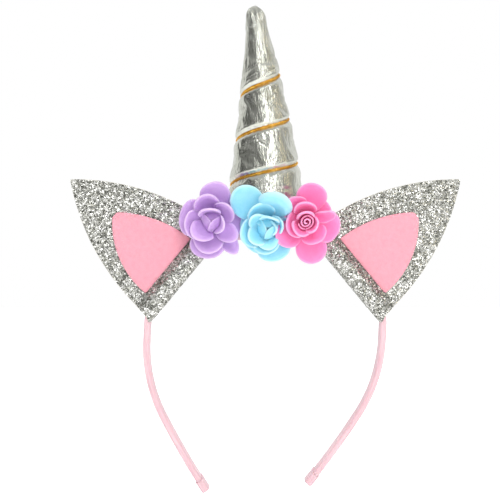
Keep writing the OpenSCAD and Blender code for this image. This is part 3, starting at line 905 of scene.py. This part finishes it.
horn = {
    "hem": 71.6, "height": 100.6, "radius": 19.8, "flat": 0.78, "lean": 5.9, "shift": 0.3,
    "domeStart": 0.94, "domeReach": 0.0612, "girth": 124.0,
    "columns": 132, "rowStep": 0.85, "seamAngle": 90.0, "tipFrom": 0.9, "tipRows": 14,
    "sewnFrom": 0.93, "sewnNear": 0.75,     # the cloth is held above this share and this near the cord
    "cordStart": 4.0, "pitch": 22.7, "turns": 2.9, "startAngle": 110.0,
    "notch": 1.05, "notchWidth": 2.1,   # how deep and how wide the cord presses into the cover
    "bulge": 0.55,                      # the stuffing stands this proud between two turns
    "tipPleats": 9, "pleatDepth": 0.5,
    "pressure": 4.0, "slack": 0.03, "steps": 20,
    "outMost": 0.5, "inMost": 0.32, "slideMost": 0.3,   # how far the stuffed cover may move, by direction
    "fillInset": 1.0,
    "cordThick": 1.25, "cordProud": 0.42, "cordStep": 0.3,
    "strands": 3, "strandShare": 0.27, "strandTurn": 1500.0,
    "stitches": 4, "stitchThick": 0.12, "stitchTurn": 4200.0, "stitchReach": 1.75,
}
# what the cover's cloth weighs and how it gives
clothWork = {
    "quality": 6, "mass": 0.15, "tension_stiffness": 12, "compression_stiffness": 12,
    "shear_stiffness": 6, "bending_stiffness": 0.4, "air_damping": 4, "use_pressure": True,
    "uniform_pressure_force": horn["pressure"], "shrink_min": -horn["slack"], "vertex_group_mass": "sewn",
}


def hornRadius(h):
    dome = max(0.0, 1 - (max(h - horn["domeStart"], 0) / horn["domeReach"]) ** 2)
    return horn["radius"] * (1 - 0.79 * h) * (1 - 0.05 * math.exp(-40 * h)) * math.sqrt(dome)


def hornShift(h):
    return horn["shift"] - horn["lean"] * h * h


def toCord(angle, up):
    # the signed height from a point to the nearest turn of the cord, and that turn's number
    around = ((angle - horn["startAngle"]) % 360) / 360
    turn = round((up - horn["cordStart"]) / horn["pitch"] - around)
    turn = min(max(turn, 0), math.floor(horn["turns"] - around))
    return up - horn["cordStart"] - (turn + around) * horn["pitch"], turn + around


def hornSkin(angle, up):
    # the cover's radius, pressed in along the cord and standing proud between its turns
    h = up / horn["height"]
    away, turn = toCord(angle, up)
    base = hornRadius(h)
    thin = min(1.0, base / 12)
    press = horn["notch"] * thin * math.exp(-(away / horn["notchWidth"]) ** 2)
    t = min(abs(away) / (horn["pitch"] * 0.5), 1.0)
    rise = horn["bulge"] * thin * math.sin(math.pi * min(t * 1.15, 1.0) ** 0.62) if up < 92 else 0.0
    # short creases that run into the cord, and long ones along the cover
    near = math.exp(-abs(away) / 3.6)
    crease = 0.15 * near * thin * noise.noise((angle * 0.11, away * 0.12, turn * 1.7))
    long = 0.1 * thin * noise.noise((angle * 0.028, up * 0.055, 4.0))
    long += 0.06 * thin * noise.noise((angle * 0.075, up * 0.1, 14.0))
    pleat = math.cos(math.radians(angle) * horn["tipPleats"])
    pleat *= horn["pleatDepth"] * float(smoothStep(0.9, 0.985, h))
    hemTuck = 0.35 * math.exp(-((up - 5.4) / 0.6) ** 2) * (0.6 + 0.4 * math.cos(math.radians(angle + 60)))
    return max(base - press + rise + crease + long + pleat * min(1, base / 3) - hemTuck, 0.05)


def hornPoint(angle, up, radius):
    a = math.radians(angle)
    return (mm * (hornShift(up / horn["height"]) + radius * math.cos(a)),
            mm * radius * horn["flat"] * math.sin(a), mm * (horn["hem"] + up))


def hornCover():
    rows = int(horn["height"] / horn["rowStep"])
    count = horn["columns"]
    points, uvs, fixed = [], [], []
    levels = [horn["height"] * i / rows for i in range(rows + 1)]
    # rows stand closer together where the tip rounds over
    tipFrom, tipRows = horn["tipFrom"], horn["tipRows"]
    levels = [u for u in levels if u < tipFrom * horn["height"]]
    levels += [horn["height"] * (tipFrom + (1 - tipFrom) * math.sin(math.pi / 2 * i / tipRows))
               for i in range(tipRows)]
    for row, up in enumerate(levels):
        for c in range(count):
            angle = horn["seamAngle"] + 360 * c / count
            points.append(hornPoint(angle, up, hornSkin(angle, up)))
            uvs.append((mm * horn["girth"] * c / count, mm * up))
            nearCord = abs(toCord(angle, up)[0]) < horn["sewnNear"]
            if row == 0 or up > horn["sewnFrom"] * horn["height"] or nearCord:
                fixed.append(len(points) - 1)
    points.append(hornPoint(0, horn["height"], 0))
    uvs.append((0, mm * horn["height"]))
    fixed.append(len(points) - 1)
    faces = gridFaces(len(levels), count, 0, wrap=True)
    last = (len(levels) - 1) * count
    faces += [(last + c, last + (c + 1) % count, len(points) - 1) for c in range(count)]
    # the hem is turned in under the cover
    under = len(points)
    for inset, up in ((0.5, 0.02), (1.2, 0.35), (3.2, 0.6)):
        for c in range(count):
            angle = horn["seamAngle"] + 360 * c / count
            points.append(hornPoint(angle, up, hornSkin(angle, 0) - inset))
            uvs.append((mm * horn["girth"] * c / count, -mm * inset))
    ring = [list(range(count))] + [[under + r * count + c for c in range(count)] for r in range(3)]
    for a, b in zip(ring, ring[1:]):
        faces += [(a[c], b[c], b[(c + 1) % count], a[(c + 1) % count]) for c in range(count)]
    fixed += range(under, len(points))
    piece = makePiece("hornCover", points, faces, lame, uvs)
    faceOutward(piece)
    # the weave runs on across the seam at the back
    girth = horn["girth"] * mm
    layer = piece.data.uv_layers["clothUv"].data
    for face in piece.data.polygons:
        across = [layer[i].uv[0] for i in face.loop_indices]
        if max(across) - min(across) > girth / 2:
            for i in face.loop_indices:
                if layer[i].uv[0] < girth / 2:
                    layer[i].uv[0] += girth
    return piece, fixed


def stuffCover(piece, fixed):
    # blows the cover up like a stuffed sleeve, held by the cord, the hem and the gathered tip
    mesh = piece.data
    rest = np.zeros(len(mesh.vertices) * 3)
    mesh.vertices.foreach_get("co", rest)
    rest = rest.reshape(-1, 3)
    pins = piece.vertex_groups.new(name="sewn")
    pins.add(list(fixed), 1.0, "REPLACE")
    cloth = piece.modifiers.new("cloth", "CLOTH")
    work = cloth.settings
    for key, value in clothWork.items():
        setattr(work, key, value)
    work.effector_weights.gravity = 0
    cloth.collision_settings.use_collision = False
    cloth.point_cache.frame_start, cloth.point_cache.frame_end = 1, horn["steps"]
    for step in range(1, horn["steps"] + 1):
        scene.frame_set(step)
    result = piece.evaluated_get(bpy.context.evaluated_depsgraph_get()).to_mesh()
    moved = np.zeros(len(result.vertices) * 3)
    result.vertices.foreach_get("co", moved)
    piece.modifiers.remove(cloth)
    scene.frame_set(1)
    step = moved.reshape(-1, 3) - rest
    # the stuffing holds it from caving in, and the weave from ballooning or sliding round
    up = np.clip(rest[:, 2] / mm - horn["hem"], 0, horn["height"]) / horn["height"]
    away = rest[:, :2] - np.stack([mm * hornShift(up), 0 * up], axis=1)
    away /= np.maximum(np.linalg.norm(away, axis=1), 1e-9)[:, None]
    radial = (step[:, :2] * away).sum(axis=1)
    slide = step.copy()
    slide[:, :2] -= away * radial[:, None]
    limit = np.where(radial > 0, horn["outMost"], horn["inMost"]) * mm
    radial = limit * np.tanh(radial / limit)
    far = np.linalg.norm(slide, axis=1)
    most = horn["slideMost"] * mm
    step = slide * (most * np.tanh(far / most) / np.maximum(far, 1e-9))[:, None]
    step[:, :2] += away * radial[:, None]
    mesh.vertices.foreach_set("co", (rest + step).ravel())
    mesh.update()
    print("stage: horn cover stuffed, moved by up to", round(float(np.abs(radial).max()) / mm, 2), "mm")


def hornStuffing():
    # the fibre fill, drawn in under the cord like the cover over it
    points, rows, count = [], 80, 64
    top, foot = 0.92 * horn["height"], 1.8
    for r in range(rows + 1):
        up = foot + (top - foot) * r / rows
        for c in range(count):
            angle = 360 * c / count
            lump = 0.12 * noise.noise((c * 0.5, r * 0.4, 8.0))
            points.append(hornPoint(angle, up, max(hornSkin(angle, up) - horn["fillInset"] + lump, 0.5)))
    faces = gridFaces(rows + 1, count, 0, wrap=True)
    faces += [tuple(range(count - 1, -1, -1)), tuple(rows * count + c for c in range(count))]
    piece = makePiece("hornStuffing", points, faces, fibreFill)
    faceOutward(piece)
    finishPiece(piece, "crown", "stuffing", "horn_stuffing")


def cordTree():
    # twists three foil-wrapped strands round each other along a line
    tree, given, add = startTree("twistStrands", {"Strand Radius": 0.0003, "Twist": 1500.0, "Step": 0.0003})
    line = add("GeometryNodeMeshToCurve", {"Mesh": given["Geometry"]})
    even = add("GeometryNodeResampleCurve", {"Curve": line["Curve"], "Length": given["Step"]},
               mode="LENGTH")
    along = add("GeometryNodeSplineParameter")["Length"]
    turn = add("ShaderNodeMath", {0: along, 1: given["Twist"]}, operation="MULTIPLY")[0]
    tangent, normal = add("GeometryNodeInputTangent")[0], add("GeometryNodeInputNormal")[0]
    bundle = addNode(tree, "GeometryNodeJoinGeometry")
    for strand in range(horn["strands"]):
        start = math.tau * strand / horn["strands"]
        phase = add("ShaderNodeMath", {0: turn, 1: start}, operation="ADD")[0]
        spin = add("ShaderNodeVectorRotate", {"Vector": normal, "Axis": tangent, "Angle": phase},
                   rotation_type="AXIS_ANGLE")[0]
        reach = add("ShaderNodeVectorMath", {0: spin, "Scale": given["Strand Radius"]}, operation="SCALE")
        move = add("GeometryNodeSetPosition", {"Geometry": even["Curve"], "Offset": reach["Vector"]})
        ring = add("GeometryNodeCurvePrimitiveCircle", {"Resolution": 7, "Radius": given["Strand Radius"]},
                   mode="RADIUS")
        tube = add("GeometryNodeCurveToMesh", {"Curve": move["Geometry"], "Profile Curve": ring["Curve"],
                                               "Fill Caps": True})
        tree.links.new(tube["Mesh"], bundle.inputs["Geometry"])
    soft = add("GeometryNodeSetShadeSmooth", {"Geometry": bundle.outputs["Geometry"]})
    endTree(add, given, soft["Geometry"])
    return tree


twistStrands = cordTree()


def strandsAlong(name, line, radius, twist, step, material):
    guide = bpy.data.meshes.new(name + "Line")
    guide.from_pydata(line, [(i, i + 1) for i in range(len(line) - 1)], [])
    return bakeTree(twistStrands, name, guide, {"Strand Radius": radius, "Twist": twist, "Step": step,
                                                "Material": material})


def hornCord():
    # the gold cord climbs from the hem, sunk into the cover; its ends are tucked in
    line = []
    steps = int(horn["turns"] * 120)
    for i in range(steps + 1):
        turn = horn["turns"] * i / steps
        up = horn["cordStart"] + turn * horn["pitch"]
        angle = horn["startAngle"] + 360 * turn
        rest = hornSkin(angle, up) + horn["cordThick"] * horn["cordProud"]
        tuck = 1.1 * (math.exp(-i / 3) + math.exp(-(steps - i) / 3))
        line.append(hornPoint(angle, up, rest - tuck))
    piece = strandsAlong("hornCord", line, horn["cordThick"] * horn["strandShare"] * mm, horn["strandTurn"],
                         horn["cordStep"] * mm, gold)
    finishPiece(piece, "crown", "gold_cord", "horn_cord")


def tipStitches():
    # the thread that gathers the cover at its tip: a few short stitches between the pleats
    made = []
    for i in range(horn["stitches"]):
        line = []
        for j in range(9):
            t = j / 8
            up = horn["height"] * (1 + 0.0012) - 0.9 * t ** 2
            x, y, z = hornPoint(45 + 360 * i / horn["stitches"] + 14 * t, up, 0.2 + horn["stitchReach"] * t)
            line.append((x, y, z + 0.25 * mm * math.sin(math.pi * t)))
        made.append(strandsAlong("hornStitch%d" % i, line, horn["stitchThick"] * mm, horn["stitchTurn"],
                                 horn["stitchThick"] * mm, silverThread))
    finishPiece(joinPieces("hornTipStitch", made), "crown", "silver_thread", "horn_tip_stitch")


def joinPieces(name, pieces):
    # makes one piece of several, without operators that need a selection
    work = bmesh.new()
    for piece in pieces:
        work.from_mesh(piece.data)
    mesh = bpy.data.meshes.new(name)
    work.to_mesh(mesh)
    work.free()
    mesh.materials.append(pieces[0].data.materials[0])
    for piece in pieces:
        bpy.data.objects.remove(piece)
    whole = bpy.data.objects.new(name, mesh)
    scene.collection.objects.link(whole)
    return whole


cover, sewn = hornCover()
stuffCover(cover, sewn)
finer = cover.modifiers.new("finer", "SUBSURF")
finer.levels = finer.render_levels = 1
finishPiece(cover, "crown", "silver_lame", "horn_cover")
hornStuffing()
hornCord()
tipStitches()
dress("horn_base_felt", silverThread)
dress("horn_glue", setGlue)
print("stage: horn")


roses = {
    "nod": 8.0, "lap": 3.0,     # they look up a little, and each leans over its neighbour
    "plugFoot": 6.9,            # the plugs stand on the plate's front
    "foam": 1.15, "heartFoam": 0.95, "coilFoam": 0.85,      # foam thickness
    "heartCup": 0.75, "heartPoint": 0.35,
    "petalLap": 0.16, "heartLap": 1.0,      # how far each petal stands in front of the one before it
    "coilTurns": 2.3, "coilStart": 300, "coilPitch": 1.5, "coilFoot": 4.6, "coilHeight": 8.6,
    "at": {"Purple": (-26.6, 61.8), "Blue": (1.0, 58.2), "Pink": (20.2, 61.6)},
    "stand": {"Purple": 10.4, "Blue": 11.6, "Pink": 14.2},      # each rose laps over the one on its left
}
# every petal: direction (0 right, 90 up), reach, width, foot from the middle and its height, elevation
# at the foot and at the tip, cup across, outward curl of the rim, pointedness and twist
petals = {
    "Purple": {
        "outer": [
            (8, 18.6, 19, 2.5, 0.0, 0, 6, 0.5, 0.8, 0, 0),
            (172, 16.4, 20, 2.5, 0.2, 5, 22, 0.5, 1.4, 0, 0),
            (84, 19.2, 17, 2.5, 0.3, 6, 24, 0.5, 1.4, 0, 0),
            (306, 20.6, 11.5, 2.5, 0.3, 4, 20, 0.7, 0.8, 0.5, -14),
            (260, 19.6, 19, 2.5, 0.5, 4, 20, 0.5, 1.2, 0, 0),
        ],
        "middle": [
            (106, 12.6, 16, 2.6, 1.5, 24, 72, 1.0, 1.3, 0, 0),
            (192, 13.0, 18, 2.6, 1.7, 22, 60, 1.0, 1.2, 0, 0),
            (260, 15.4, 17.5, 2.6, 1.6, 16, 50, 0.9, 1.2, 0, 0),
            (36, 11.6, 15, 2.6, 1.7, 30, 66, 0.9, 1.4, 0.3, 12),
            (322, 14.6, 13.5, 2.6, 2.0, 26, 54, 0.9, 1.0, 0.8, -20),
        ],
        "inner": [
            (96, 8.0, 14, 2.2, 3.0, 52, 96, 1.2, 0.9, 0.1, 0),
            (228, 9.4, 16, 2.2, 3.1, 36, 78, 1.2, 2.0, 0, 8),
            (338, 7.6, 12, 2.2, 3.2, 54, 92, 1.2, 0.9, 0.3, 0),
        ],
    },
    "Blue": {
        "outer": [
            (352, 10.5, 14, 2.5, 0.0, 0, 8, 0.5, 0.8, 0, 0),
            (182, 13.4, 16, 2.5, 0.2, 6, 20, 0.5, 1.2, 0, 0),
            (236, 14.2, 16, 2.5, 0.3, 6, 22, 0.5, 1.2, 0, 0),
            (286, 17.6, 18, 2.5, 0.4, 2, 14, 0.5, 1.2, 0, 0),
            (129, 24.8, 18.0, 2.5, 0.3, 12, 24, 0.5, 1.2, 0, 0),
            (70, 15.0, 19, 2.5, 0.5, 30, 84, 0.7, 4.6, 0, 0),
        ],
        "middle": [
            (22, 7.6, 12, 2.6, 1.5, 40, 88, 1.0, 0.6, 0, 0),
            (112, 12.2, 18, 2.6, 1.6, 26, 76, 1.0, 1.5, 0, 0),
            (196, 12.8, 18.5, 2.6, 1.7, 20, 62, 1.1, 1.2, 0, 0),
            (264, 12.0, 17.5, 2.6, 1.8, 20, 60, 1.1, 1.2, 0, 0),
        ],
        "inner": [
            (140, 8.8, 13, 2.2, 2.8, 44, 86, 1.2, 1.2, 0.35, -12),
            (212, 8.8, 14, 2.2, 3.0, 40, 84, 1.2, 1.2, 0, 0),
            (272, 8.4, 13.5, 2.2, 3.0, 36, 74, 1.1, 2.2, 0, 0),
            (76, 8.0, 12.5, 2.2, 3.2, 50, 100, 1.0, 0.8, 0.2, 6),
            (6, 6.0, 10, 2.2, 3.0, 60, 98, 1.2, 0.5, 0.2, 0),
        ],
    },
    "Pink": {
        "outer": [
            (30, 13.5, 14, 2.5, 0.0, 4, 14, 0.5, 1.0, 0, 0),
            (342, 17.0, 17.5, 2.5, 0.2, 6, 22, 0.5, 1.2, 0, 0),
            (79, 18.6, 16.5, 2.5, 0.3, 6, 24, 0.5, 1.2, 0, 0),
            (281, 22.0, 17, 2.5, 0.4, 0, 16, 0.5, 1.4, 0, 0),
            (130, 13.0, 15, 2.5, 0.4, 18, 52, 0.7, 1.2, 0, 0),
            (218, 17.0, 15.5, 2.5, 0.5, 14, 40, 0.6, 1.0, 0.1, 0),
        ],
        "middle": [
            (94, 9.0, 15, 2.6, 1.5, 34, 84, 1.1, 1.0, 0, 0),
            (200, 9.4, 16, 2.6, 1.6, 30, 78, 1.1, 1.0, 0, 0),
            (300, 11.2, 15.5, 2.6, 1.7, 24, 66, 1.0, 1.2, 0, 0),
            (16, 14.6, 9.5, 2.6, 2.2, 26, 46, 1.5, 0.6, 0.6, 24),
        ],
        "inner": [
            (232, 7.4, 13.5, 2.2, 2.8, 50, 88, 1.3, 0.7, 0, 6),
            (330, 6.8, 12.5, 2.2, 3.0, 56, 92, 1.3, 0.8, 0, 0),
            (100, 6.6, 12.5, 2.2, 3.1, 60, 94, 1.3, 0.7, 0, 0),
        ],
    },
}
# the heart of a rose: closing petals with their direction, length, width, foot, height, start and end rise
hearts = {
    "Purple": [(98, 9.6, 12.5, 4.4, 2.6, 78, 172), (208, 9.8, 12.0, 4.2, 2.6, 78, 168),
        (318, 9.8, 11.4, 4.2, 2.8, 76, 166)],
    "Blue": [(84, 10.4, 14.0, 4.8, 2.4, 74, 172), (196, 9.8, 12.0, 4.4, 2.6, 78, 168),
        (322, 9.6, 11.0, 4.4, 2.8, 76, 166)],
}


def petalPoints(petal, seed, cells=15, byLength=False):
    # one foam petal: a rounded outline bent upward along its length and cupped across it
    direction, reach, width, foot, high0, riseFoot, riseTip, cup, curl, point, twist = petal
    samples = np.linspace(0, 1, 60)
    angles = np.radians(riseFoot + (riseTip - riseFoot) * samples ** 1.15)
    flat, lift = [np.concatenate([[0], np.cumsum((way(angles[1:]) + way(angles[:-1])) / 2)])
                  / (len(samples) - 1) for way in (np.cos, np.sin)]
    # long enough for its tip to stand at the wanted reach
    length = reach if byLength else (reach - foot) / max(flat[-1], 0.42)
    half = width / 2
    rnd = random.Random(seed)
    tone = [rnd.uniform(0.85, 1.15) for _ in range(3)]
    phase = rnd.uniform(0, math.tau)
    skew = rnd.uniform(-0.12, 0.12)
    points, rims = [], []
    for r in range(cells + 1):
        for c in range(cells + 1):
            u, v = -1 + 2 * c / cells, -1 + 2 * r / cells
            x = u * math.sqrt(1 - v * v / 2)
            y = v * math.sqrt(1 - u * u / 2)
            rho = min(1.0, math.hypot(x, y))
            t = min(max((y + 1) / 2, 0), 1)
            shape = 0.62 + 0.38 * float(smoothStep(0.0, 0.75, t))
            shape *= 1 - 0.55 * point * t ** 2
            across = half * x * shape * 1.04 + skew * half * t * t
            out, high, angle = (float(np.interp(t, samples, row)) for row in (flat, lift, angles))
            out, high = foot + length * out, high0 + length * high
            bend = cup * tone[0] / half
            side = math.sin(bend * across) / bend
            drop = (1 - math.cos(bend * across)) / bend
            upper = float(smoothStep(0.0, 0.5, t))
            roll = curl * tone[1] * max(0.0, (rho - 0.66) / 0.34) ** 2 * upper
            wave = 0.3 * tone[2] * rho ** 3 * math.sin(3 * math.atan2(y, x) + phase) * upper
            lean = math.radians(twist) * t
            push = (drop - roll + wave) * math.cos(lean) + side * math.sin(lean)
            side = side * math.cos(lean) - (drop - roll) * math.sin(lean)
            out -= math.sin(angle) * push
            high += math.cos(angle) * push
            a = math.radians(direction)
            points.append((out * math.cos(a) - side * math.sin(a),
                           out * math.sin(a) + side * math.cos(a), high))
            # the rim value paints a highlight near the petal's outline
            rims.append(rho)
    return points, rims


def roseMatrix(tint):
    x, z = roses["at"][tint]
    turn = Matrix.Rotation(math.radians(90 + roses["nod"]), 4, "X")
    turn = turn @ Matrix.Rotation(math.radians(-roses["lap"]), 4, "Y")
    return Matrix.Translation(Vector((x, -roses["stand"][tint], z)) * mm) @ turn @ Matrix.Scale(mm, 4)


def foamMesh(name, points, faces, rims, tint):
    place = roseMatrix(tint)
    piece = makePiece(name, [place @ Vector(p) for p in points], faces, foams[tint])
    piece.data.attributes.new("rim", "FLOAT", "POINT").data.foreach_set("value", rims)
    return piece


def foamPiece(name, points, faces, rims, tint, node, thick):
    piece = foamMesh(name, points, faces, rims, tint)
    solid = piece.modifiers.new("foamThickness", "SOLIDIFY")
    solid.thickness = thick * mm
    solid.offset = 0
    soft = piece.modifiers.new("softEdges", "SUBSURF")
    soft.levels = soft.render_levels = 1
    finishPiece(piece, "crown", "foam_" + tint.lower(), node)


def petalRing(tint, kind):
    points, faces, rims = [], [], []
    cells = 15
    for i, petal in enumerate(petals[tint][kind]):
        made, edge = petalPoints(petal, "%s%s%d" % (tint, kind, i), cells)
        faces += gridFaces(cells + 1, cells + 1, len(points))
        # each petal of a ring lies a little over the one before it
        points += [(x, y, z + roses["petalLap"] * i) for x, y, z in made]
        rims += edge
    foamPiece("rose%s%s" % (tint, kind.capitalize()), points, faces, rims, tint,
              "rose_%s_%s" % (tint.lower(), kind), roses["foam"])


def roseHeart(tint):
    # closing petals folded over each other in the middle
    points, faces, rims = [], [], []
    cells = 11
    for i, (direction, length, width, foot, high, rise, end) in enumerate(hearts[tint]):
        petal = (direction, length, width, foot, high, rise, end, roses["heartCup"], 0.0,
                 roses["heartPoint"], 0)
        made, edge = petalPoints(petal, "%sheart%d" % (tint, i), cells, byLength=True)
        faces += gridFaces(cells + 1, cells + 1, len(points))
        points += [(x, y, z + roses["heartLap"] * i) for x, y, z in made]
        rims += edge
    foamPiece("rose%sBud" % tint, points, faces, rims, tint, "rose_%s_bud" % tint.lower(),
              roses["heartFoam"])


def roseCoil(tint):
    # a strip of foam rolled up in the middle, its top edge uneven
    turns, steps, rows = roses["coilTurns"], 72, 8
    points, rims = [], []
    for r in range(rows + 1):
        v = r / rows
        for k in range(steps + 1):
            t = k / steps
            a = math.radians(roses["coilStart"] - 360 * turns * t)
            radius = 0.5 + roses["coilPitch"] * turns * t * (0.9 + 0.1 * v) + 0.3 * t * math.sin(2 * a) * v
            high = roses["coilFoot"] + v * (roses["coilHeight"] - 3.4 * t + 0.45 * math.sin(2 * a + 1))
            points.append((radius * math.cos(a), radius * math.sin(a), high))
            # painted highlight: the coil's top edge is paler
            rims.append(v if v > 0.5 else 0.5)
    foamPiece("rose%sBud" % tint, points, gridFaces(rows + 1, steps + 1), rims, tint,
              "rose_%s_bud" % tint.lower(), roses["coilFoam"])


def rosePlug(tint):
    # the foam stub that holds the petals to the plate behind them
    points, rims = [], []
    back = roses["plugFoot"] - roses["stand"][tint]
    rings = [(5.9, back), (5.9, back + 0.8), (5.4, back * 0.6), (4.8, -1.2), (4.4, 0.3), (2.2, 0.7)]
    for radius, high in rings:
        for k in range(28):
            a = math.tau * k / 28
            wob = 1 + 0.03 * math.sin(5 * a + high)
            points.append((radius * wob * math.cos(a), radius * wob * math.sin(a), high))
            rims.append(0.3)
    faces = gridFaces(len(rings), 28, 0, wrap=True)
    faces.append(tuple(range(27, -1, -1)))
    faces.append(tuple((len(rings) - 1) * 28 + k for k in range(28)))
    low = tint.lower()
    piece = foamMesh("rose%sPlug" % tint, points, faces, rims, tint)
    faceOutward(piece)
    finishPiece(piece, "crown", "foam_" + low, "rose_%s_plug" % low)


for tint in ("Purple", "Blue", "Pink"):
    for kind in ("outer", "middle", "inner"):
        petalRing(tint, kind)
    if tint in hearts:
        roseHeart(tint)
    else:
        roseCoil(tint)
    rosePlug(tint)
print("stage: roses")


def roundedOutline(width, height, corner):
    # a rounded rectangle seen from its middle, as rays with their reach
    outline = []
    a, b = width / 2, height / 2
    for i in range(96):
        t = math.tau * i / 96
        ray = np.array((math.cos(t), math.sin(t)))
        far = min(a / max(abs(ray[0]), 1e-6), b / max(abs(ray[1]), 1e-6))
        x, y = abs(ray[0] * far), abs(ray[1] * far)
        if x > a - corner and y > b - corner:
            cx, cy = a - corner, b - corner
            along = abs(ray[0]) * cx + abs(ray[1]) * cy
            far = along + math.sqrt(max(along ** 2 - cx ** 2 - cy ** 2 + corner ** 2, 0))
        outline.append((ray, far))
    return np.array((0.0, 0.0)), outline


felt = {
    "thick": 1.3, "edge": 0.4,
    # width, height and corner radius, then the place of its middle
    "plate": (66.0, 17.0, 7.0), "plateAt": (-4.0, -5.3, 60.0),
    "seat": (34.0, 22.0, 10.0), "seatAt": (0.3, 0.0, 70.15),
    "patch": (34.8, 9.4, 3.0), "patchCut": (35.0, 10.1), "patchThick": 1.1, "patchEdge": 0.35,
    "patchRadius": 36.2, "patchMid": 35.6,      # the radius of its top face, and the one it is bent at
    "area": {"plate": 1070.0, "seat": 660.0, "patch": 320.0},
}


def onPlate(x, y, z):
    px, py, pz = felt["plateAt"]
    return mm * (px + x), mm * (py - z), mm * (pz + y)


def onSeat(x, y, z):
    px, py, pz = felt["seatAt"]
    return mm * (px + x), mm * (py + y), mm * (pz + z)


def underCrown(x, y, z):
    radius = felt["patchRadius"] - z
    a = x / felt["patchMid"]
    return mm * radius * math.sin(a), mm * y, mm * (band["crownZ"] + radius * math.cos(a))


def layFelt(kind, name, node, cutSize, place, thick, edge):
    pad = padFromOutline(name, *roundedOutline(*felt[kind]), place, thick, edge, paleFelt)
    flatSize(cutSize)
    finishPiece(pad, "crown", "pale_felt", node)


layFelt("plate", "rosePlateFelt", "rose_plate_felt", felt["plate"], onPlate, felt["thick"], felt["edge"])
layFelt("seat", "hornSeatFelt", "horn_seat_felt", felt["seat"], onSeat, felt["thick"], felt["edge"])
layFelt("patch", "crownPatchFelt", "crown_patch_felt", felt["patchCut"], underCrown, felt["patchThick"],
        felt["patchEdge"])
print("stage: felt")
